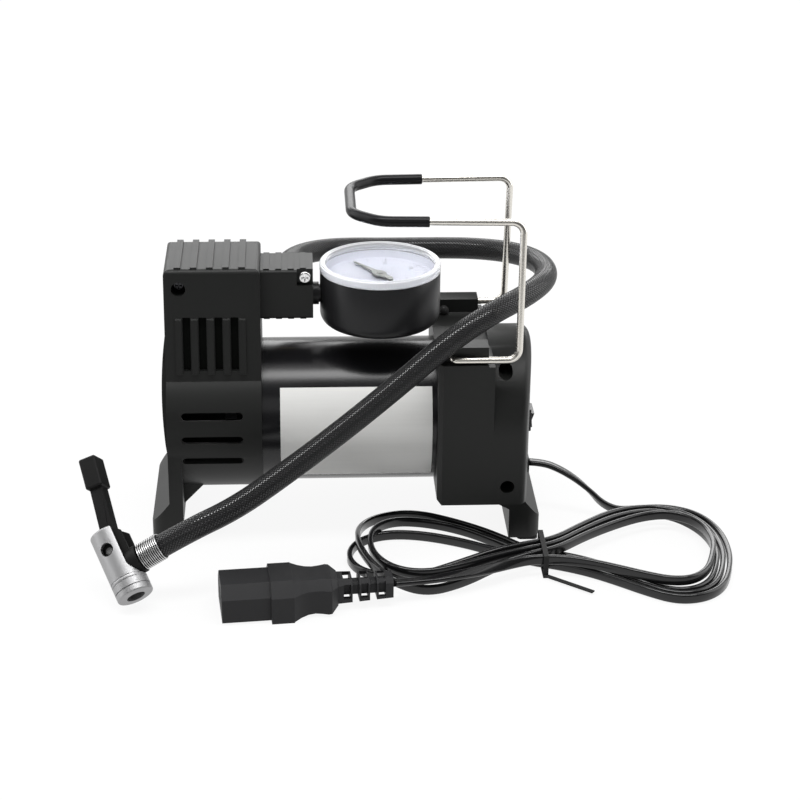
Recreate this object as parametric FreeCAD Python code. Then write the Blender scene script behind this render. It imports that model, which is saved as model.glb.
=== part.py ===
import FreeCAD, Part

import math
import os

# Portable tyre inflator: a motor tube lying along X, a pump head on its left end, an end cap on its right
# end, a round gauge above it, a folding wire handle, an air hose with a lever chuck, and a mains lead.
# Millimetres. X runs along the motor, Y points away from the viewer, Z is up.
# The origin is on the floor, in the middle of the body.

Vector = FreeCAD.Vector

# Clearances
fit_gap = 0.15
running_gap = 0.05
moving_gap = 0.4

# Longer than the part, for cutters that go right through
far = 300.0

# Overall body
foot_reach = 86.0
end_plane = 78.0
leg_half_depth = 33.0
leg_thickness = 6.0
leg_corner = 6.0
flare_top = 21.0
flare_bottom = 11.0
foot_pad_height = 2.0
foot_inset_x = 5.2
foot_inset_y = 8.0
wall = 2.2
axis_z = 52.0

# Motor tube
can_radius = 31.8
can_wall = 2.0
can_left = -42.0
can_right = 44.0

# Pump head casing
head_width = 41.2
head_top = 125.0
head_half_top = 19.0
head_half_low = 24.5
head_shoulder = 76.0
head_edge_radius = 2.4
rib_pitch = 6.87
rib_width = 2.8
rib_proud = 0.9
rib_first = 6.0
rib_count = 5
face_slot_width = 3.3
face_slot_low = 80.5
face_slot_high = 104.3
face_rib_low = 78.4
wrap_slot_length = 26.6
wrap_slot_height = 3.4
wrap_slot_first = 18.0
wrap_slot_pitch = 18.0
wrap_slot_count = 3
gusset_reach = 8.5
gusset_half_depth = 20.0

# Block between the pump head and the gauge
block_length = 22.8
block_half_depth = 12.0
block_bottom = 99.5
block_top = 121.8
block_rib_proud = 0.5
block_rib_pitch = 5.3
block_rib_width = 2.6
block_rib_count = 4
block_notch = 7.0

# End grille
grille_center_z = 63.5
grille_half_height = 33.5
grille_half_width = 20.0
grille_bulge = 2.4
grille_border = 3.0
grille_slot_pitch = 4.85
grille_slot_height = 3.3
grille_slot_count = 11

# End cap
cap_left = 39.5
cap_step = 63.7
cap_half_depth = 37.0
cap_bottom = 20.5
cap_bulge = 4.2
cap_edge_radius = 3.5
cap_chamfer = 2.0
ear_top = 94.0
ear_inner = 24.0
ear_right = 61.0
saddle_z = 86.3

# Handle
wire_radius = 1.5
wire_half_gap = 35.2
wire_top_half_gap = 30.5
wire_pivot_x = 45.4
wire_z = 88.9
wire_leg_x = 73.8
wire_top_z = 149.5
wire_end_x = 2.4
wire_bend = 5.0
wire_end_bend = 1.8
wire_end_reach = 22.8
grip_radius = 2.3
grip_start_x = 35.0

# Gauge
gauge_x = 15.5
gauge_radius = 26.8
gauge_bottom = 88.0
gauge_case_top = 116.6
gauge_lens_top = 120.7
gauge_wall = 1.6
gauge_edge = 7.0
lens_wall = 2.0
dial_z = 113.6
dial_thickness = 0.8
needle_z = 115.2
needle_thickness = 0.7
needle_reach = 19.0
needle_tail = 8.5
needle_shaft_length = 8.0
needle_rest_angle = 126.0
stem_z = 107.0
stem_radius = 5.0
movement_half_width = 5.0
movement_reach = 6.0
movement_below = 5.5
movement_above = 3.0
bourdon_radius = 18.0
bourdon_drop = 9.5

# Label plate
label_left = -28.8
label_right = 37.4
label_top_angle = 39.7
label_bottom_angle = 43.0
label_thickness = 0.4

# Gear train and pump
gear_module = 0.8
pinion_teeth = 10
gear_teeth = 40
gear_width = 4.0
gear_left = -53.0
tooth_share = 0.42
crank_radius = 6.0
crank_pin_radius = 2.0
axle_radius = 2.5
frame_plate = 3.0
frame_half_width = 15.0
rod_thickness = 5.0
rod_width = 8.0
rod_eye_radius = 5.0
pump_x = -57.0
bore_radius = 9.5
cylinder_wall = 2.5
cylinder_base = 93.5
cylinder_top = 113.0
cylinder_fin = 2.0
crown_height = 6.0
valve_plate_height = 2.0
valve_plate_half = 11.4
cylinder_head_top = 121.4

# Motor inside
shaft_radius = 3.0
bearing_radius = 8.0
bearing_width = 5.0
magnet_thickness = 4.0
magnet_overhang = 4.0
magnet_angle = 130.0
core_radius = 24.6
core_length = 38.0
core_slots = 12
core_center_x = -4.0
slot_width = 3.2
slot_depth = 9.0
commutator_radius = 9.0
commutator_length = 11.0
brush_width = 5.0
winding_overhang = 5.0
brush_ring_half = 5.0
brush_ring_thickness = 5.0
brush_arm_half = 3.5
brush_box_length = 9.0

# Switch and cord exit
switch_z = 47.5
switch_half_y = 7.6
switch_half_z = 5.3
switch_bezel = 1.2
switch_depth = 14.0
rocker_half_y = 6.0
rocker_half_z = 3.9
rocker_proud = 2.4
rocker_tilt = 7.0
cord_exit_z = 23.5
grommet_flange = 1.4

# Screws
screw_head_radius = 2.6
screw_head_height = 1.8
screw_shank_radius = 1.4
screw_recess = 0.6
screw_recess_width = 3.0
screw_recess_depth = 0.9
screw_grip = 6.5
screw_seat_y = 13.0
block_screw_seat_y = 9.5
counterbore_radius = 3.1
boss_wall = 1.3

# Hose
hose_radius = 5.0
hose_exit_x = -26.0
hose_z = 108.0
crimp_radius = 6.2
crimp_end_y = 22.0
nut_radius = 6.4
nut_height = 3.6

# Chuck, in its own frame: x towards the hose, y towards the lever, z towards the viewer
chuck_center = Vector(-95.1, -80.2, 15.0)
chuck_mouth_axis = Vector(0.404, -0.676, -0.616)
chuck_hose_axis = Vector(0.856, 0.042, 0.515)
chuck_radius = 7.9
chuck_low = -13.8
chuck_high = 17.5
chuck_core_radius = 5.6
valve_bore_radius = 4.0
valve_bore_length = 10.0
seal_radius = 4.6
seal_height = 2.4
seal_setback = 0.4
chuck_window_half = 6.7
chuck_cheek_reach = 7.1
chuck_cheek_top = 16.5
chuck_cheek_half = 5.2
chuck_grooves = [(2.8, 0.5, 0.45), (6.2, 0.4, 0.2), (7.7, 0.4, 0.2)]
air_way_radius = 2.2
hose_boss_radius = 6.3
cam_radius = 3.4
cam_half_width = 3.2
lever_slot_half = 3.6
ferrule_start = 9.0
ferrule_length = 10.4
ferrule_turns = 11
ferrule_wire = 0.42
lever_pivot_x = -1.0
lever_pivot_y = 8.0
lever_angle = 9.0
lever_length = 43.0
lever_pin_radius = 1.5

# Mains lead
cord_radius = 2.1
hank_center = Vector(85.0, -55.0, 0.0)
hank_floor = 2.5
hank_layer = 5.0
hank_step = 5.2
hank_waist_step = 6.2
hank_waist = 3.0
tie_thickness = 0.6
tie_half_length = 1.1
tie_tail = 24.0
tie_tail_turn = 51.0

# Plug
plug_turn = 5.6
plug_front = Vector(-54.5, -92.0, 0.0)
plug_block_length = 20.5
plug_block_width = 23.0
plug_block_height = 15.4
plug_body_length = 9.5
plug_body_width = 27.0
plug_body_height = 18.5
plug_waist_length = 19.0
plug_relief_length = 23.5
relief_half_y = 5.8
relief_half_z = 5.2
relief_core_half = 2.7
relief_pitch = 7.4
relief_gap_first = 6.1
relief_gap = 2.9
relief_gap_count = 2
relief_window_first = 2.4
relief_window = 3.0
relief_window_half = 3.3
plug_axis_z = 8.6


def box(x0, x1, y0, y1, z0, z1):
    return Part.makeBox(x1 - x0, y1 - y0, z1 - z0, Vector(x0, y0, z0))


def rod_x(radius, x0, x1, y=0.0, z=axis_z):
    return Part.makeCylinder(radius, x1 - x0, Vector(x0, y, z), Vector(1, 0, 0))


def rod_y(radius, y0, y1, x, z):
    return Part.makeCylinder(radius, y1 - y0, Vector(x, y0, z), Vector(0, 1, 0))


def rod_z(radius, z0, z1, x, y):
    return Part.makeCylinder(radius, z1 - z0, Vector(x, y, z0), Vector(0, 0, 1))


def prism_x(points, x0, x1):
    corners = [Vector(x0, y, z) for y, z in points]
    face = Part.Face(Part.makePolygon(corners + corners[:1]))
    return face.extrude(Vector(x1 - x0, 0, 0))


def prism_y(points, y0, y1):
    corners = [Vector(x, y0, z) for x, z in points]
    face = Part.Face(Part.makePolygon(corners + corners[:1]))
    return face.extrude(Vector(0, y1 - y0, 0))


def stadium_x(half_y, half_z, z_center, x0, x1, radius):
    plate = box(x0, x1, -half_y, half_y, z_center - half_z, z_center + half_z)
    edges = [edge for edge in plate.Edges if abs(edge.tangentAt(edge.FirstParameter).x) > 0.99]
    return plate.makeFillet(radius, edges)


def join(first, *others):
    return first.multiFuse(list(others)).removeSplitter()


def mirror_y(shape):
    return shape.mirror(Vector(0, 0, 0), Vector(0, 1, 0))


def edges_along(shape, axis, test):
    picked = []
    for edge in shape.Edges:
        if edge.Curve.TypeId != "Part::GeomLine":
            continue
        direction = edge.tangentAt(edge.FirstParameter)
        if abs(getattr(direction, axis)) > 0.95 and test(edge.CenterOfMass):
            picked.append(edge)
    return picked


def route_wire(points, radii):
    """Straight runs joined by tangent arcs, one radius for each inner point."""
    edges = []
    start = points[0]
    for index in range(1, len(points) - 1):
        here = points[index]
        back = (points[index - 1] - here).normalize()
        ahead = (points[index + 1] - here).normalize()
        half_angle = back.getAngle(ahead) / 2
        radius = radii[index - 1]
        reach = radius / math.tan(half_angle)
        arc_start = here + back * reach
        arc_end = here + ahead * reach
        middle = (back + ahead).normalize()
        arc_middle = here + middle * (radius / math.sin(half_angle) - radius)
        if (arc_start - start).Length > 1e-6:
            edges.append(Part.LineSegment(start, arc_start).toShape())
        edges.append(Part.Arc(arc_start, arc_middle, arc_end).toShape())
        start = arc_end
    edges.append(Part.LineSegment(start, points[-1]).toShape())
    return Part.Wire(edges)


def cord_radii(points):
    """The largest arc that both runs at a point leave room for."""
    radii = []
    for index in range(1, len(points) - 1):
        before = points[index] - points[index - 1]
        after = points[index + 1] - points[index]
        turn = before.getAngle(after)
        radii.append(0.45 * min(before.Length, after.Length) / math.tan(turn / 2))
    return radii


def tube_along(wire, radius):
    first = wire.OrderedEdges[0]
    start = first.valueAt(first.FirstParameter)
    direction = first.tangentAt(first.FirstParameter)
    circle = Part.Wire(Part.makeCircle(radius, start, direction))
    return wire.makePipeShell([circle], True, False)


def export(name, shape):
    solids = shape.Solids
    assert solids and all(solid.isValid() for solid in solids), name
    result = solids[0] if len(solids) == 1 else Part.makeCompound(solids)
    result.exportStep(f"parts/{name}.step")
    print(name, len(solids), "solids", round(result.Volume), "mm3")


# Pump head casing

head_left = -end_plane
head_right = head_left + head_width
wrap_radius = can_radius + fit_gap + wall
block_right = head_right + block_length


def head_half_at(z):
    share = (z - head_shoulder) / (head_top - head_shoulder)
    return head_half_low + (head_half_top - head_half_low) * share


def head_prism(inset, x0, x1):
    top = head_top - inset
    low = head_half_low - inset
    high = head_half_top - inset
    points = [
        (-high, top),
        (high, top),
        (low, head_shoulder),
        (low, axis_z),
        (-low, axis_z),
        (-low, head_shoulder),
    ]
    return prism_x(points, x0, x1)


def leg_plan(x0, x1):
    plan = box(x0, x1, -leg_half_depth, leg_half_depth, 0, axis_z)
    middle = abs(x0 + x1) / 2
    corners = edges_along(plan, "z", lambda center: abs(center.x) > middle)
    return plan.makeFillet(min(leg_corner, 0.9 * (x1 - x0)), corners)


def left_leg():
    inner = head_left + leg_thickness
    points = [
        (head_left, axis_z - 6),
        (head_left, flare_top),
        (-foot_reach, flare_bottom),
        (-foot_reach, foot_pad_height),
        (inner - 3, foot_pad_height),
        (inner, flare_bottom),
        (inner, axis_z - 6),
    ]
    plate = prism_y(points, -leg_half_depth, leg_half_depth).common(leg_plan(-foot_reach, inner))
    slope = [
        (inner - 1, flare_bottom + 4),
        (inner, flare_bottom + 4),
        (inner + gusset_reach, axis_z - wrap_radius + 6),
        (inner + gusset_reach, axis_z - wrap_radius + 10),
        (inner - 1, axis_z - wrap_radius + 10),
    ]
    gusset = prism_y(slope, -gusset_half_depth, gusset_half_depth)
    return join(plate, gusset)


def rib_centers():
    return [head_left + rib_first + rib_pitch * index for index in range(rib_count)]


def face_rib(x):
    low = face_rib_low
    high = face_slot_high
    points = [
        (-head_half_at(low) + 1, low),
        (-head_half_at(low) - rib_proud, low + rib_proud),
        (-head_half_at(high) - rib_proud, high - rib_proud),
        (-head_half_at(high) + 1, high),
    ]
    return prism_x(points, x - rib_width / 2, x + rib_width / 2)


def top_rib(x):
    reach = head_half_top - head_edge_radius / 2
    return box(x - rib_width / 2, x + rib_width / 2, -reach, reach, head_top - 1, head_top + rib_proud)


def face_slots():
    cuts = []
    for x in rib_centers()[:-1]:
        center = x + rib_pitch / 2
        slot = box(
            center - face_slot_width / 2,
            center + face_slot_width / 2,
            -head_half_low - 5,
            -head_half_top + wall + 3,
            face_slot_low,
            face_slot_high,
        )
        cuts.append(slot)
    return cuts


def wrap_slots():
    cuts = []
    middle = (rib_centers()[0] + rib_centers()[-1]) / 2
    half = (wrap_slot_length - wrap_slot_height) / 2
    for index in range(wrap_slot_count):
        bar = box(
            middle - half,
            middle + half,
            -wrap_radius - 3,
            -can_radius + 3,
            axis_z - wrap_slot_height / 2,
            axis_z + wrap_slot_height / 2,
        )
        ends = [
            rod_y(wrap_slot_height / 2, -wrap_radius - 3, -can_radius + 3, x, axis_z)
            for x in (middle - half, middle + half)
        ]
        slot = join(bar, *ends)
        angle = -(wrap_slot_first - wrap_slot_pitch * index)
        slot.rotate(Vector(0, 0, axis_z), Vector(1, 0, 0), angle)
        cuts.append(slot)
    return cuts


def block_outer():
    body = box(head_right - 5, block_right, -block_half_depth, block_half_depth, block_bottom, block_top)
    body = body.makeFillet(1.5, edges_along(body, "x", lambda center: True))
    ribs = []
    for index in range(block_rib_count):
        x = head_right + block_rib_width + block_rib_pitch * index
        half = block_half_depth - 1.6
        low = block_bottom - block_rib_proud
        high = block_top + block_rib_proud
        ribs.append(box(x - block_rib_width / 2, x + block_rib_width / 2, -half, half, low, high))
    return join(body, *ribs)


def block_screw_place():
    x = block_right - block_notch / 2
    z = block_top - block_notch / 2
    return x, z


def head_screw_place():
    return head_left + 6.3, head_top - 8.4


def head_casing():
    upper = head_prism(0, head_left, head_right)
    rim = edges_along(upper, "x", lambda center: center.z > head_top - 1)
    rim += edges_along(upper, "y", lambda center: center.z > head_top - 1)
    upper = upper.makeFillet(head_edge_radius, rim)
    wrap = rod_x(wrap_radius, head_left, head_right)
    ribs = [top_rib(x) for x in rib_centers()]
    front_ribs = [face_rib(x) for x in rib_centers()]
    rear_ribs = [mirror_y(rib) for rib in front_ribs]
    outer = join(upper, wrap, left_leg(), block_outer(), *ribs, *front_ribs, *rear_ribs)

    inner_upper = head_prism(wall, head_left + wall, head_right - wall)
    inner_wrap = rod_x(can_radius + fit_gap, head_left + wall, head_right + 1)
    inner_block = box(
        head_right - 8,
        block_right - wall,
        -block_half_depth + wall,
        block_half_depth - wall,
        block_bottom + wall,
        block_top - wall,
    )
    grille_hole = stadium_x(
        grille_half_width - grille_border,
        grille_half_height - grille_border,
        grille_center_z,
        head_left - 1,
        head_left + wall + 1,
        grille_half_width - grille_border - 5,
    )
    stem_hole = rod_x(stem_radius + fit_gap, block_right - wall - 1, block_right + 1, 0, stem_z)
    fitting_hole = rod_y(
        crimp_radius - 1,
        block_half_depth - wall - 1,
        block_half_depth + 1,
        hose_exit_x,
        hose_z,
    )
    front_slots = face_slots() + wrap_slots()
    rear_slots = [mirror_y(slot) for slot in front_slots]
    cuts = [inner_upper, inner_wrap, inner_block, grille_hole, stem_hole, fitting_hole]
    hollow = outer.cut(Part.makeCompound(cuts[:3])).cut(Part.makeCompound(cuts[3:]))
    for slot in front_slots + rear_slots:
        hollow = hollow.cut(slot)

    hollow = join(hollow, *[screw_boss(*place).common(outer) for place in casing_screws()])
    x, z, face, seat = casing_screws()[1]
    half = block_notch / 2
    notch = box(x - half, x + block_notch, -face - 1, -seat, z - half, z + block_notch)
    bores = [screw_bore(*place) for place in casing_screws()]
    return hollow.cut(Part.makeCompound(bores)).cut(notch)


def casing_screws():
    """Each screw's x, z, the face it is sunk in and the seat of its head, as distances from the split."""
    head_x, head_z = head_screw_place()
    block_x, block_z = block_screw_place()
    return [
        (head_x, head_z, head_half_at(head_z), screw_seat_y),
        (block_x, block_z, block_half_depth, block_screw_seat_y),
    ]


def screw_boss(x, z, face, seat):
    """The post that carries one screw from the front face to the rear face of a casing."""
    wide = rod_y(counterbore_radius + boss_wall, -face + 1, -seat + 1.5, x, z)
    narrow = rod_y(screw_shank_radius + boss_wall, -seat, face - 1, x, z)
    return join(wide, narrow)


def screw_bore(x, z, face, seat):
    counterbore = rod_y(counterbore_radius, -face - wall, -seat, x, z)
    pilot = rod_y(screw_shank_radius + running_gap, -seat - 1, screw_grip + 1, x, z)
    return join(counterbore, pilot)


def front_half(shape):
    return shape.common(box(-far, far, -far, 0, -far, far))


def rear_half(shape):
    return shape.common(box(-far, far, 0, far, -far, far))


def screw_at(x, z, seat):
    """A pan head screw along Y whose head rests on its seat and whose tip grips the rear shell."""
    top = -seat - screw_head_height
    head = rod_y(screw_head_radius, top, -seat, x, z)
    rim = [edge for edge in head.Edges if abs(edge.CenterOfMass.y - top) < 0.01]
    head = head.makeFillet(0.7, [edge for edge in rim if edge.Curve.TypeId == "Part::GeomCircle"])
    shank = rod_y(screw_shank_radius, -seat, screw_grip, x, z)
    long = screw_recess_width / 2
    short = screw_recess / 2
    low = top + screw_recess_depth
    long_arm = box(x - long, x + long, top - 1, low, z - short, z + short)
    cross_arm = box(x - short, x + short, top - 1, low, z - long, z + long)
    return join(head, shank).cut(long_arm).cut(cross_arm)


def side_grille():
    radius = grille_half_width - 5
    plate = stadium_x(
        grille_half_width,
        grille_half_height,
        grille_center_z,
        head_left - grille_bulge,
        head_left,
        radius,
    )
    sag_radius = (grille_half_height**2 + grille_bulge**2) / (2 * grille_bulge)
    round_bar = Part.makeCylinder(
        sag_radius,
        4 * grille_half_width,
        Vector(head_left - grille_bulge + sag_radius, -2 * grille_half_width, grille_center_z),
        Vector(0, 1, 0),
    )
    spigot = stadium_x(
        grille_half_width - grille_border - fit_gap,
        grille_half_height - grille_border - fit_gap,
        grille_center_z,
        head_left - 0.2,
        head_left + wall,
        radius - grille_border - fit_gap,
    )
    body = join(plate.common(round_bar), spigot)
    half = grille_half_width - grille_border - 2
    for index in range(grille_slot_count):
        z = grille_center_z + grille_slot_pitch * (index - (grille_slot_count - 1) / 2)
        low = z - grille_slot_height / 2
        body = body.cut(box(head_left - 5, head_left + 5, -half, half, low, low + grille_slot_height))
    bar = box(
        head_left - 0.6,
        head_left + wall,
        -1.5,
        1.5,
        grille_center_z - half - 12,
        grille_center_z + half + 12,
    )
    return join(body, bar)


# End cap

def cap_arch(half, x0, x1, low):
    arch = rod_x(half, x0, x1)
    column = box(x0, x1, -half, half, low, axis_z)
    return join(arch, column)


def cap_outer():
    bulge_radius = (cap_half_depth**2 + cap_bulge**2) / (2 * cap_bulge)
    barrel = rod_z(bulge_radius, -1, far, end_plane + cap_bulge - bulge_radius, 0)
    arch = cap_arch(cap_half_depth, cap_step - 1, end_plane + cap_bulge + 1, cap_bottom).common(barrel)
    rim = [
        edge
        for edge in arch.Edges
        if edge.CenterOfMass.x > end_plane - 4 and edge.CenterOfMass.z > axis_z + 2
    ]
    arch = arch.makeFillet(cap_edge_radius, rim)

    body = box(cap_left, cap_step, -cap_half_depth, cap_half_depth, cap_bottom, ear_top)
    left_edges = edges_along(body, "z", lambda center: center.x < cap_left + 1)
    left_edges += edges_along(body, "y", lambda center: center.x < cap_left + 1 and center.z < axis_z)
    body = body.makeChamfer(cap_chamfer, left_edges)
    right_cut = box(ear_right, cap_step + 1, -50, 50, axis_z + cap_half_depth, ear_top + 5)
    saddle = prism_x(
        [
            (-ear_inner, ear_top + 1),
            (-ear_inner, saddle_z + 1.5),
            (-ear_inner + 3, saddle_z),
            (ear_inner - 3, saddle_z),
            (ear_inner, saddle_z + 1.5),
            (ear_inner, ear_top + 1),
        ],
        cap_left - 1,
        cap_step + 1,
    )
    shoulder = box(ear_right, cap_step + 1, -50, 50, saddle_z, ear_top + 5)
    body = body.cut(right_cut).cut(saddle).cut(shoulder)
    for side in (-1, 1):
        inner = wire_half_gap - wire_radius - moving_gap
        y0, y1 = sorted((side * inner, side * (cap_half_depth + 1)))
        body = body.cut(
            box(cap_left - 1, cap_step + 1, y0, y1, wire_z - wire_radius - moving_gap, ear_top + 1),
        )

    inner_x = end_plane - leg_thickness
    leg_points = [
        (inner_x, axis_z - 6),
        (inner_x, flare_bottom),
        (inner_x + 3, foot_pad_height),
        (foot_reach, foot_pad_height),
        (foot_reach, flare_bottom),
        (end_plane, flare_top),
        (end_plane, axis_z - 6),
    ]
    leg = prism_y(leg_points, -leg_half_depth, leg_half_depth).common(leg_plan(inner_x, foot_reach))
    bulge_column = box(
        inner_x,
        end_plane + cap_bulge + 1,
        -leg_half_depth,
        leg_half_depth,
        foot_pad_height,
        axis_z,
    )
    bulge_column = bulge_column.common(barrel)
    slope = [
        (cap_step - 2, cap_bottom + 1),
        (cap_step, cap_bottom),
        (inner_x, flare_bottom + 5),
        (inner_x + 1, flare_bottom + 5),
        (inner_x + 1, cap_bottom + 6),
        (cap_step - 2, cap_bottom + 6),
    ]
    gusset = prism_y(slope, -leg_half_depth, leg_half_depth)
    return join(arch, body, leg, bulge_column, gusset)


def cap_screws():
    x = (cap_step + end_plane) / 2 - 1.5
    upper_z = axis_z + 27.3
    upper_y = math.sqrt(cap_half_depth**2 - (upper_z - axis_z) ** 2)
    return [
        (x, upper_z, upper_y, screw_seat_y),
        (x + 1, cap_bottom + 8.5, cap_half_depth, screw_seat_y),
    ]


def end_cap():
    outer = cap_outer()
    socket = rod_x(can_radius + fit_gap, cap_left - 1, can_right)
    bore = rod_x(can_radius - can_wall, can_right - 1, end_plane - wall)
    pocket = rod_x(can_radius - 7, end_plane - wall - 1, end_plane + cap_bulge - wall - 1)
    chamber = box(
        can_right + wall,
        end_plane - wall,
        -cap_half_depth + wall,
        cap_half_depth - wall,
        cap_bottom + wall,
        axis_z,
    )
    hollow = outer.cut(socket).cut(bore).cut(pocket).cut(chamber)
    switch_hole = box(
        end_plane - 6,
        end_plane + 10,
        -switch_half_y + 0.9,
        switch_half_y - 0.9,
        switch_z - switch_half_z + 0.9,
        switch_z + switch_half_z - 0.9,
    )
    recess = box(
        end_plane + cap_bulge - 0.5,
        end_plane + 10,
        -switch_half_y - fit_gap,
        switch_half_y + fit_gap,
        switch_z - switch_half_z - fit_gap,
        switch_z + switch_half_z + fit_gap,
    )
    cord_hole = box(end_plane - 6, end_plane + 10, -4.0, 4.0, cord_exit_z - 2.6, cord_exit_z + 2.6)
    hollow = hollow.cut(switch_hole).cut(recess).cut(cord_hole)
    for side in (-1, 1):
        y0, y1 = sorted((side * (ear_inner - 1), side * (cap_half_depth + 1)))
        hollow = hollow.cut(rod_y(wire_radius + running_gap, y0, y1, wire_pivot_x, wire_z))
    hollow = join(hollow, *[screw_boss(*place).common(outer) for place in cap_screws()])
    bores = [screw_bore(x, z, cap_half_depth, seat) for x, z, face, seat in cap_screws()]
    return hollow.cut(Part.makeCompound(bores))


def rubber_foot(x, y):
    pad = box(x - 4.6, x + 4.6, y - 6, y + 6, 0, foot_pad_height)
    pad = pad.makeFillet(2.0, edges_along(pad, "z", lambda center: True))
    return pad


def label_plate():
    outer = rod_x(can_radius + label_thickness, label_left, label_right)
    ring = outer.cut(rod_x(can_radius, label_left - 1, label_right + 1))
    reach = 2 * can_radius
    top = math.radians(label_top_angle)
    low = math.radians(label_bottom_angle)
    wedge = prism_x(
        [
            (0, axis_z),
            (-reach * math.cos(top), axis_z + reach * math.sin(top)),
            (-reach * math.cos(low), axis_z - reach * math.sin(low)),
        ],
        label_left - 1,
        label_right + 1,
    )
    return ring.common(wedge)


# Motor

def motor_can():
    return rod_x(can_radius, can_left, can_right).cut(
        rod_x(can_radius - can_wall, can_left - 1, can_right + 1),
    )


def magnets():
    outer = can_radius - can_wall
    magnet_half = core_length / 2 + magnet_overhang
    ring = rod_x(outer, core_center_x - magnet_half, core_center_x + magnet_half)
    ring = ring.cut(rod_x(outer - magnet_thickness, -far, far))
    reach = 2 * outer
    half = math.radians(magnet_angle / 2)
    pieces = []
    for side in (-1, 1):
        points = [
            (0, axis_z),
            (side * reach * math.cos(half), axis_z + reach * math.sin(half)),
            (side * reach, axis_z),
            (side * reach * math.cos(half), axis_z - reach * math.sin(half)),
        ]
        pieces.append(ring.common(prism_x(points, -far, far)))
    return Part.makeCompound(pieces)


def core_slot(index, grow):
    slot = box(
        core_center_x - core_length / 2 - grow,
        core_center_x + core_length / 2 + grow,
        -slot_width / 2,
        slot_width / 2,
        axis_z + core_radius - slot_depth,
        axis_z + core_radius + 2,
    )
    slot.rotate(Vector(0, 0, axis_z), Vector(1, 0, 0), 360 / core_slots * index)
    return slot


def armature_core():
    core = rod_x(core_radius, core_center_x - core_length / 2, core_center_x + core_length / 2)
    core = core.cut(rod_x(shaft_radius, -far, far))
    for index in range(core_slots):
        core = core.cut(core_slot(index, 1))
    return core


def windings():
    low = core_center_x - core_length / 2
    high = core_center_x + core_length / 2
    outer = core_radius - 1.2
    inner = core_radius - slot_depth + 0.3
    tube = rod_x(outer, low - winding_overhang, high + winding_overhang)
    tube = tube.cut(rod_x(inner, -far, far))
    return tube.cut(armature_core())


def commutator():
    x0 = core_center_x + core_length / 2 + winding_overhang
    ring = rod_x(commutator_radius, x0, x0 + commutator_length)
    ring = ring.cut(rod_x(shaft_radius, -far, far))
    for index in range(core_slots):
        groove = box(
            x0 - 1,
            x0 + commutator_length + 1,
            -0.3,
            0.3,
            axis_z + commutator_radius - 1,
            axis_z + 20,
        )
        groove.rotate(Vector(0, 0, axis_z), Vector(1, 0, 0), 360 / core_slots * index)
        ring = ring.cut(groove)
    return ring


def brush_x():
    return core_center_x + core_length / 2 + winding_overhang + commutator_length / 2


def brushes():
    pieces = []
    for side in (-1, 1):
        y0, y1 = sorted((side * (commutator_radius + 0.1), side * (commutator_radius + 9)))
        x = brush_x()
        pieces.append(box(x - brush_width / 2, x + brush_width / 2, y0, y1, axis_z - 2, axis_z + 2))
    return Part.makeCompound(pieces)


def brush_holder():
    x = brush_x()
    outer = can_radius - can_wall
    ring = rod_x(outer, x - brush_ring_half, x + brush_ring_half)
    ring = ring.cut(rod_x(outer - brush_ring_thickness, -far, far))
    arms = []
    for side in (-1, 1):
        y0, y1 = sorted((side * (commutator_radius + 2), side * (outer - 4)))
        arm_half = brush_arm_half
        arm = box(x - arm_half, x + arm_half, y0, y1, axis_z - arm_half, axis_z + arm_half)
        y0, y1 = sorted((side * commutator_radius, side * (commutator_radius + brush_box_length)))
        arm = arm.cut(box(x - brush_width / 2, x + brush_width / 2, y0, y1, axis_z - 2, axis_z + 2))
        arms.append(arm)
    return join(ring, *arms)


def bearing(x0):
    ring = rod_x(bearing_radius, x0, x0 + bearing_width)
    return ring.cut(rod_x(shaft_radius + running_gap, x0 - 1, x0 + bearing_width + 1))


def motor_end_plate():
    x1 = can_right
    plate = rod_x(can_radius - can_wall, x1 - 3, x1)
    boss = rod_x(bearing_radius + 2, x1 - bearing_width, x1)
    return join(plate, boss).cut(rod_x(bearing_radius, x1 - bearing_width - 1, x1 + 1))


frame_left = can_left - frame_plate


def gearbox_frame():
    gear_z = axis_z + gear_module * (gear_teeth + pinion_teeth) / 2
    disc = rod_x(can_radius - can_wall, frame_left, can_left + 3)
    plate = box(frame_left, can_left, -frame_half_width, frame_half_width, axis_z, cylinder_base)
    shelf_left = pump_x - bore_radius - cylinder_wall - 1
    shelf = box(shelf_left, can_left, -frame_half_width, frame_half_width, cylinder_base - 3, cylinder_base)
    body = join(disc, plate, shelf)
    body = body.cut(rod_x(bearing_radius, frame_left - 1, can_left + 4))
    body = body.cut(rod_x(axle_radius, frame_left - 1, can_left + 4, 0, gear_z))
    return body.cut(rod_z(bore_radius + 0.5, cylinder_base - 5, cylinder_base + 1, pump_x, 0))


def gear(teeth, x0, x1, y, z, bore, turn):
    """A spur gear with straight tooth flanks, thinned by tooth_share so that it runs free."""
    pitch_radius = gear_module * teeth / 2
    root = pitch_radius - 1.15 * gear_module
    tip = pitch_radius + 0.85 * gear_module
    step = 2 * math.pi / teeth
    half = step * tooth_share / 2
    lean = math.tan(math.radians(20)) * gear_module / pitch_radius
    points = []
    for index in range(teeth):
        middle = index * step + math.radians(turn)
        for radius, offset in (
            (root, -half - lean),
            (tip, -half + lean),
            (tip, half - lean),
            (root, half + lean),
        ):
            points.append((y + radius * math.sin(middle + offset), z + radius * math.cos(middle + offset)))
    return prism_x(points, x0, x1).cut(rod_x(bore, x0 - 1, x1 + 1, y, z))


gear_z = axis_z + gear_module * (gear_teeth + pinion_teeth) / 2
gear_right = gear_left + gear_width


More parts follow.
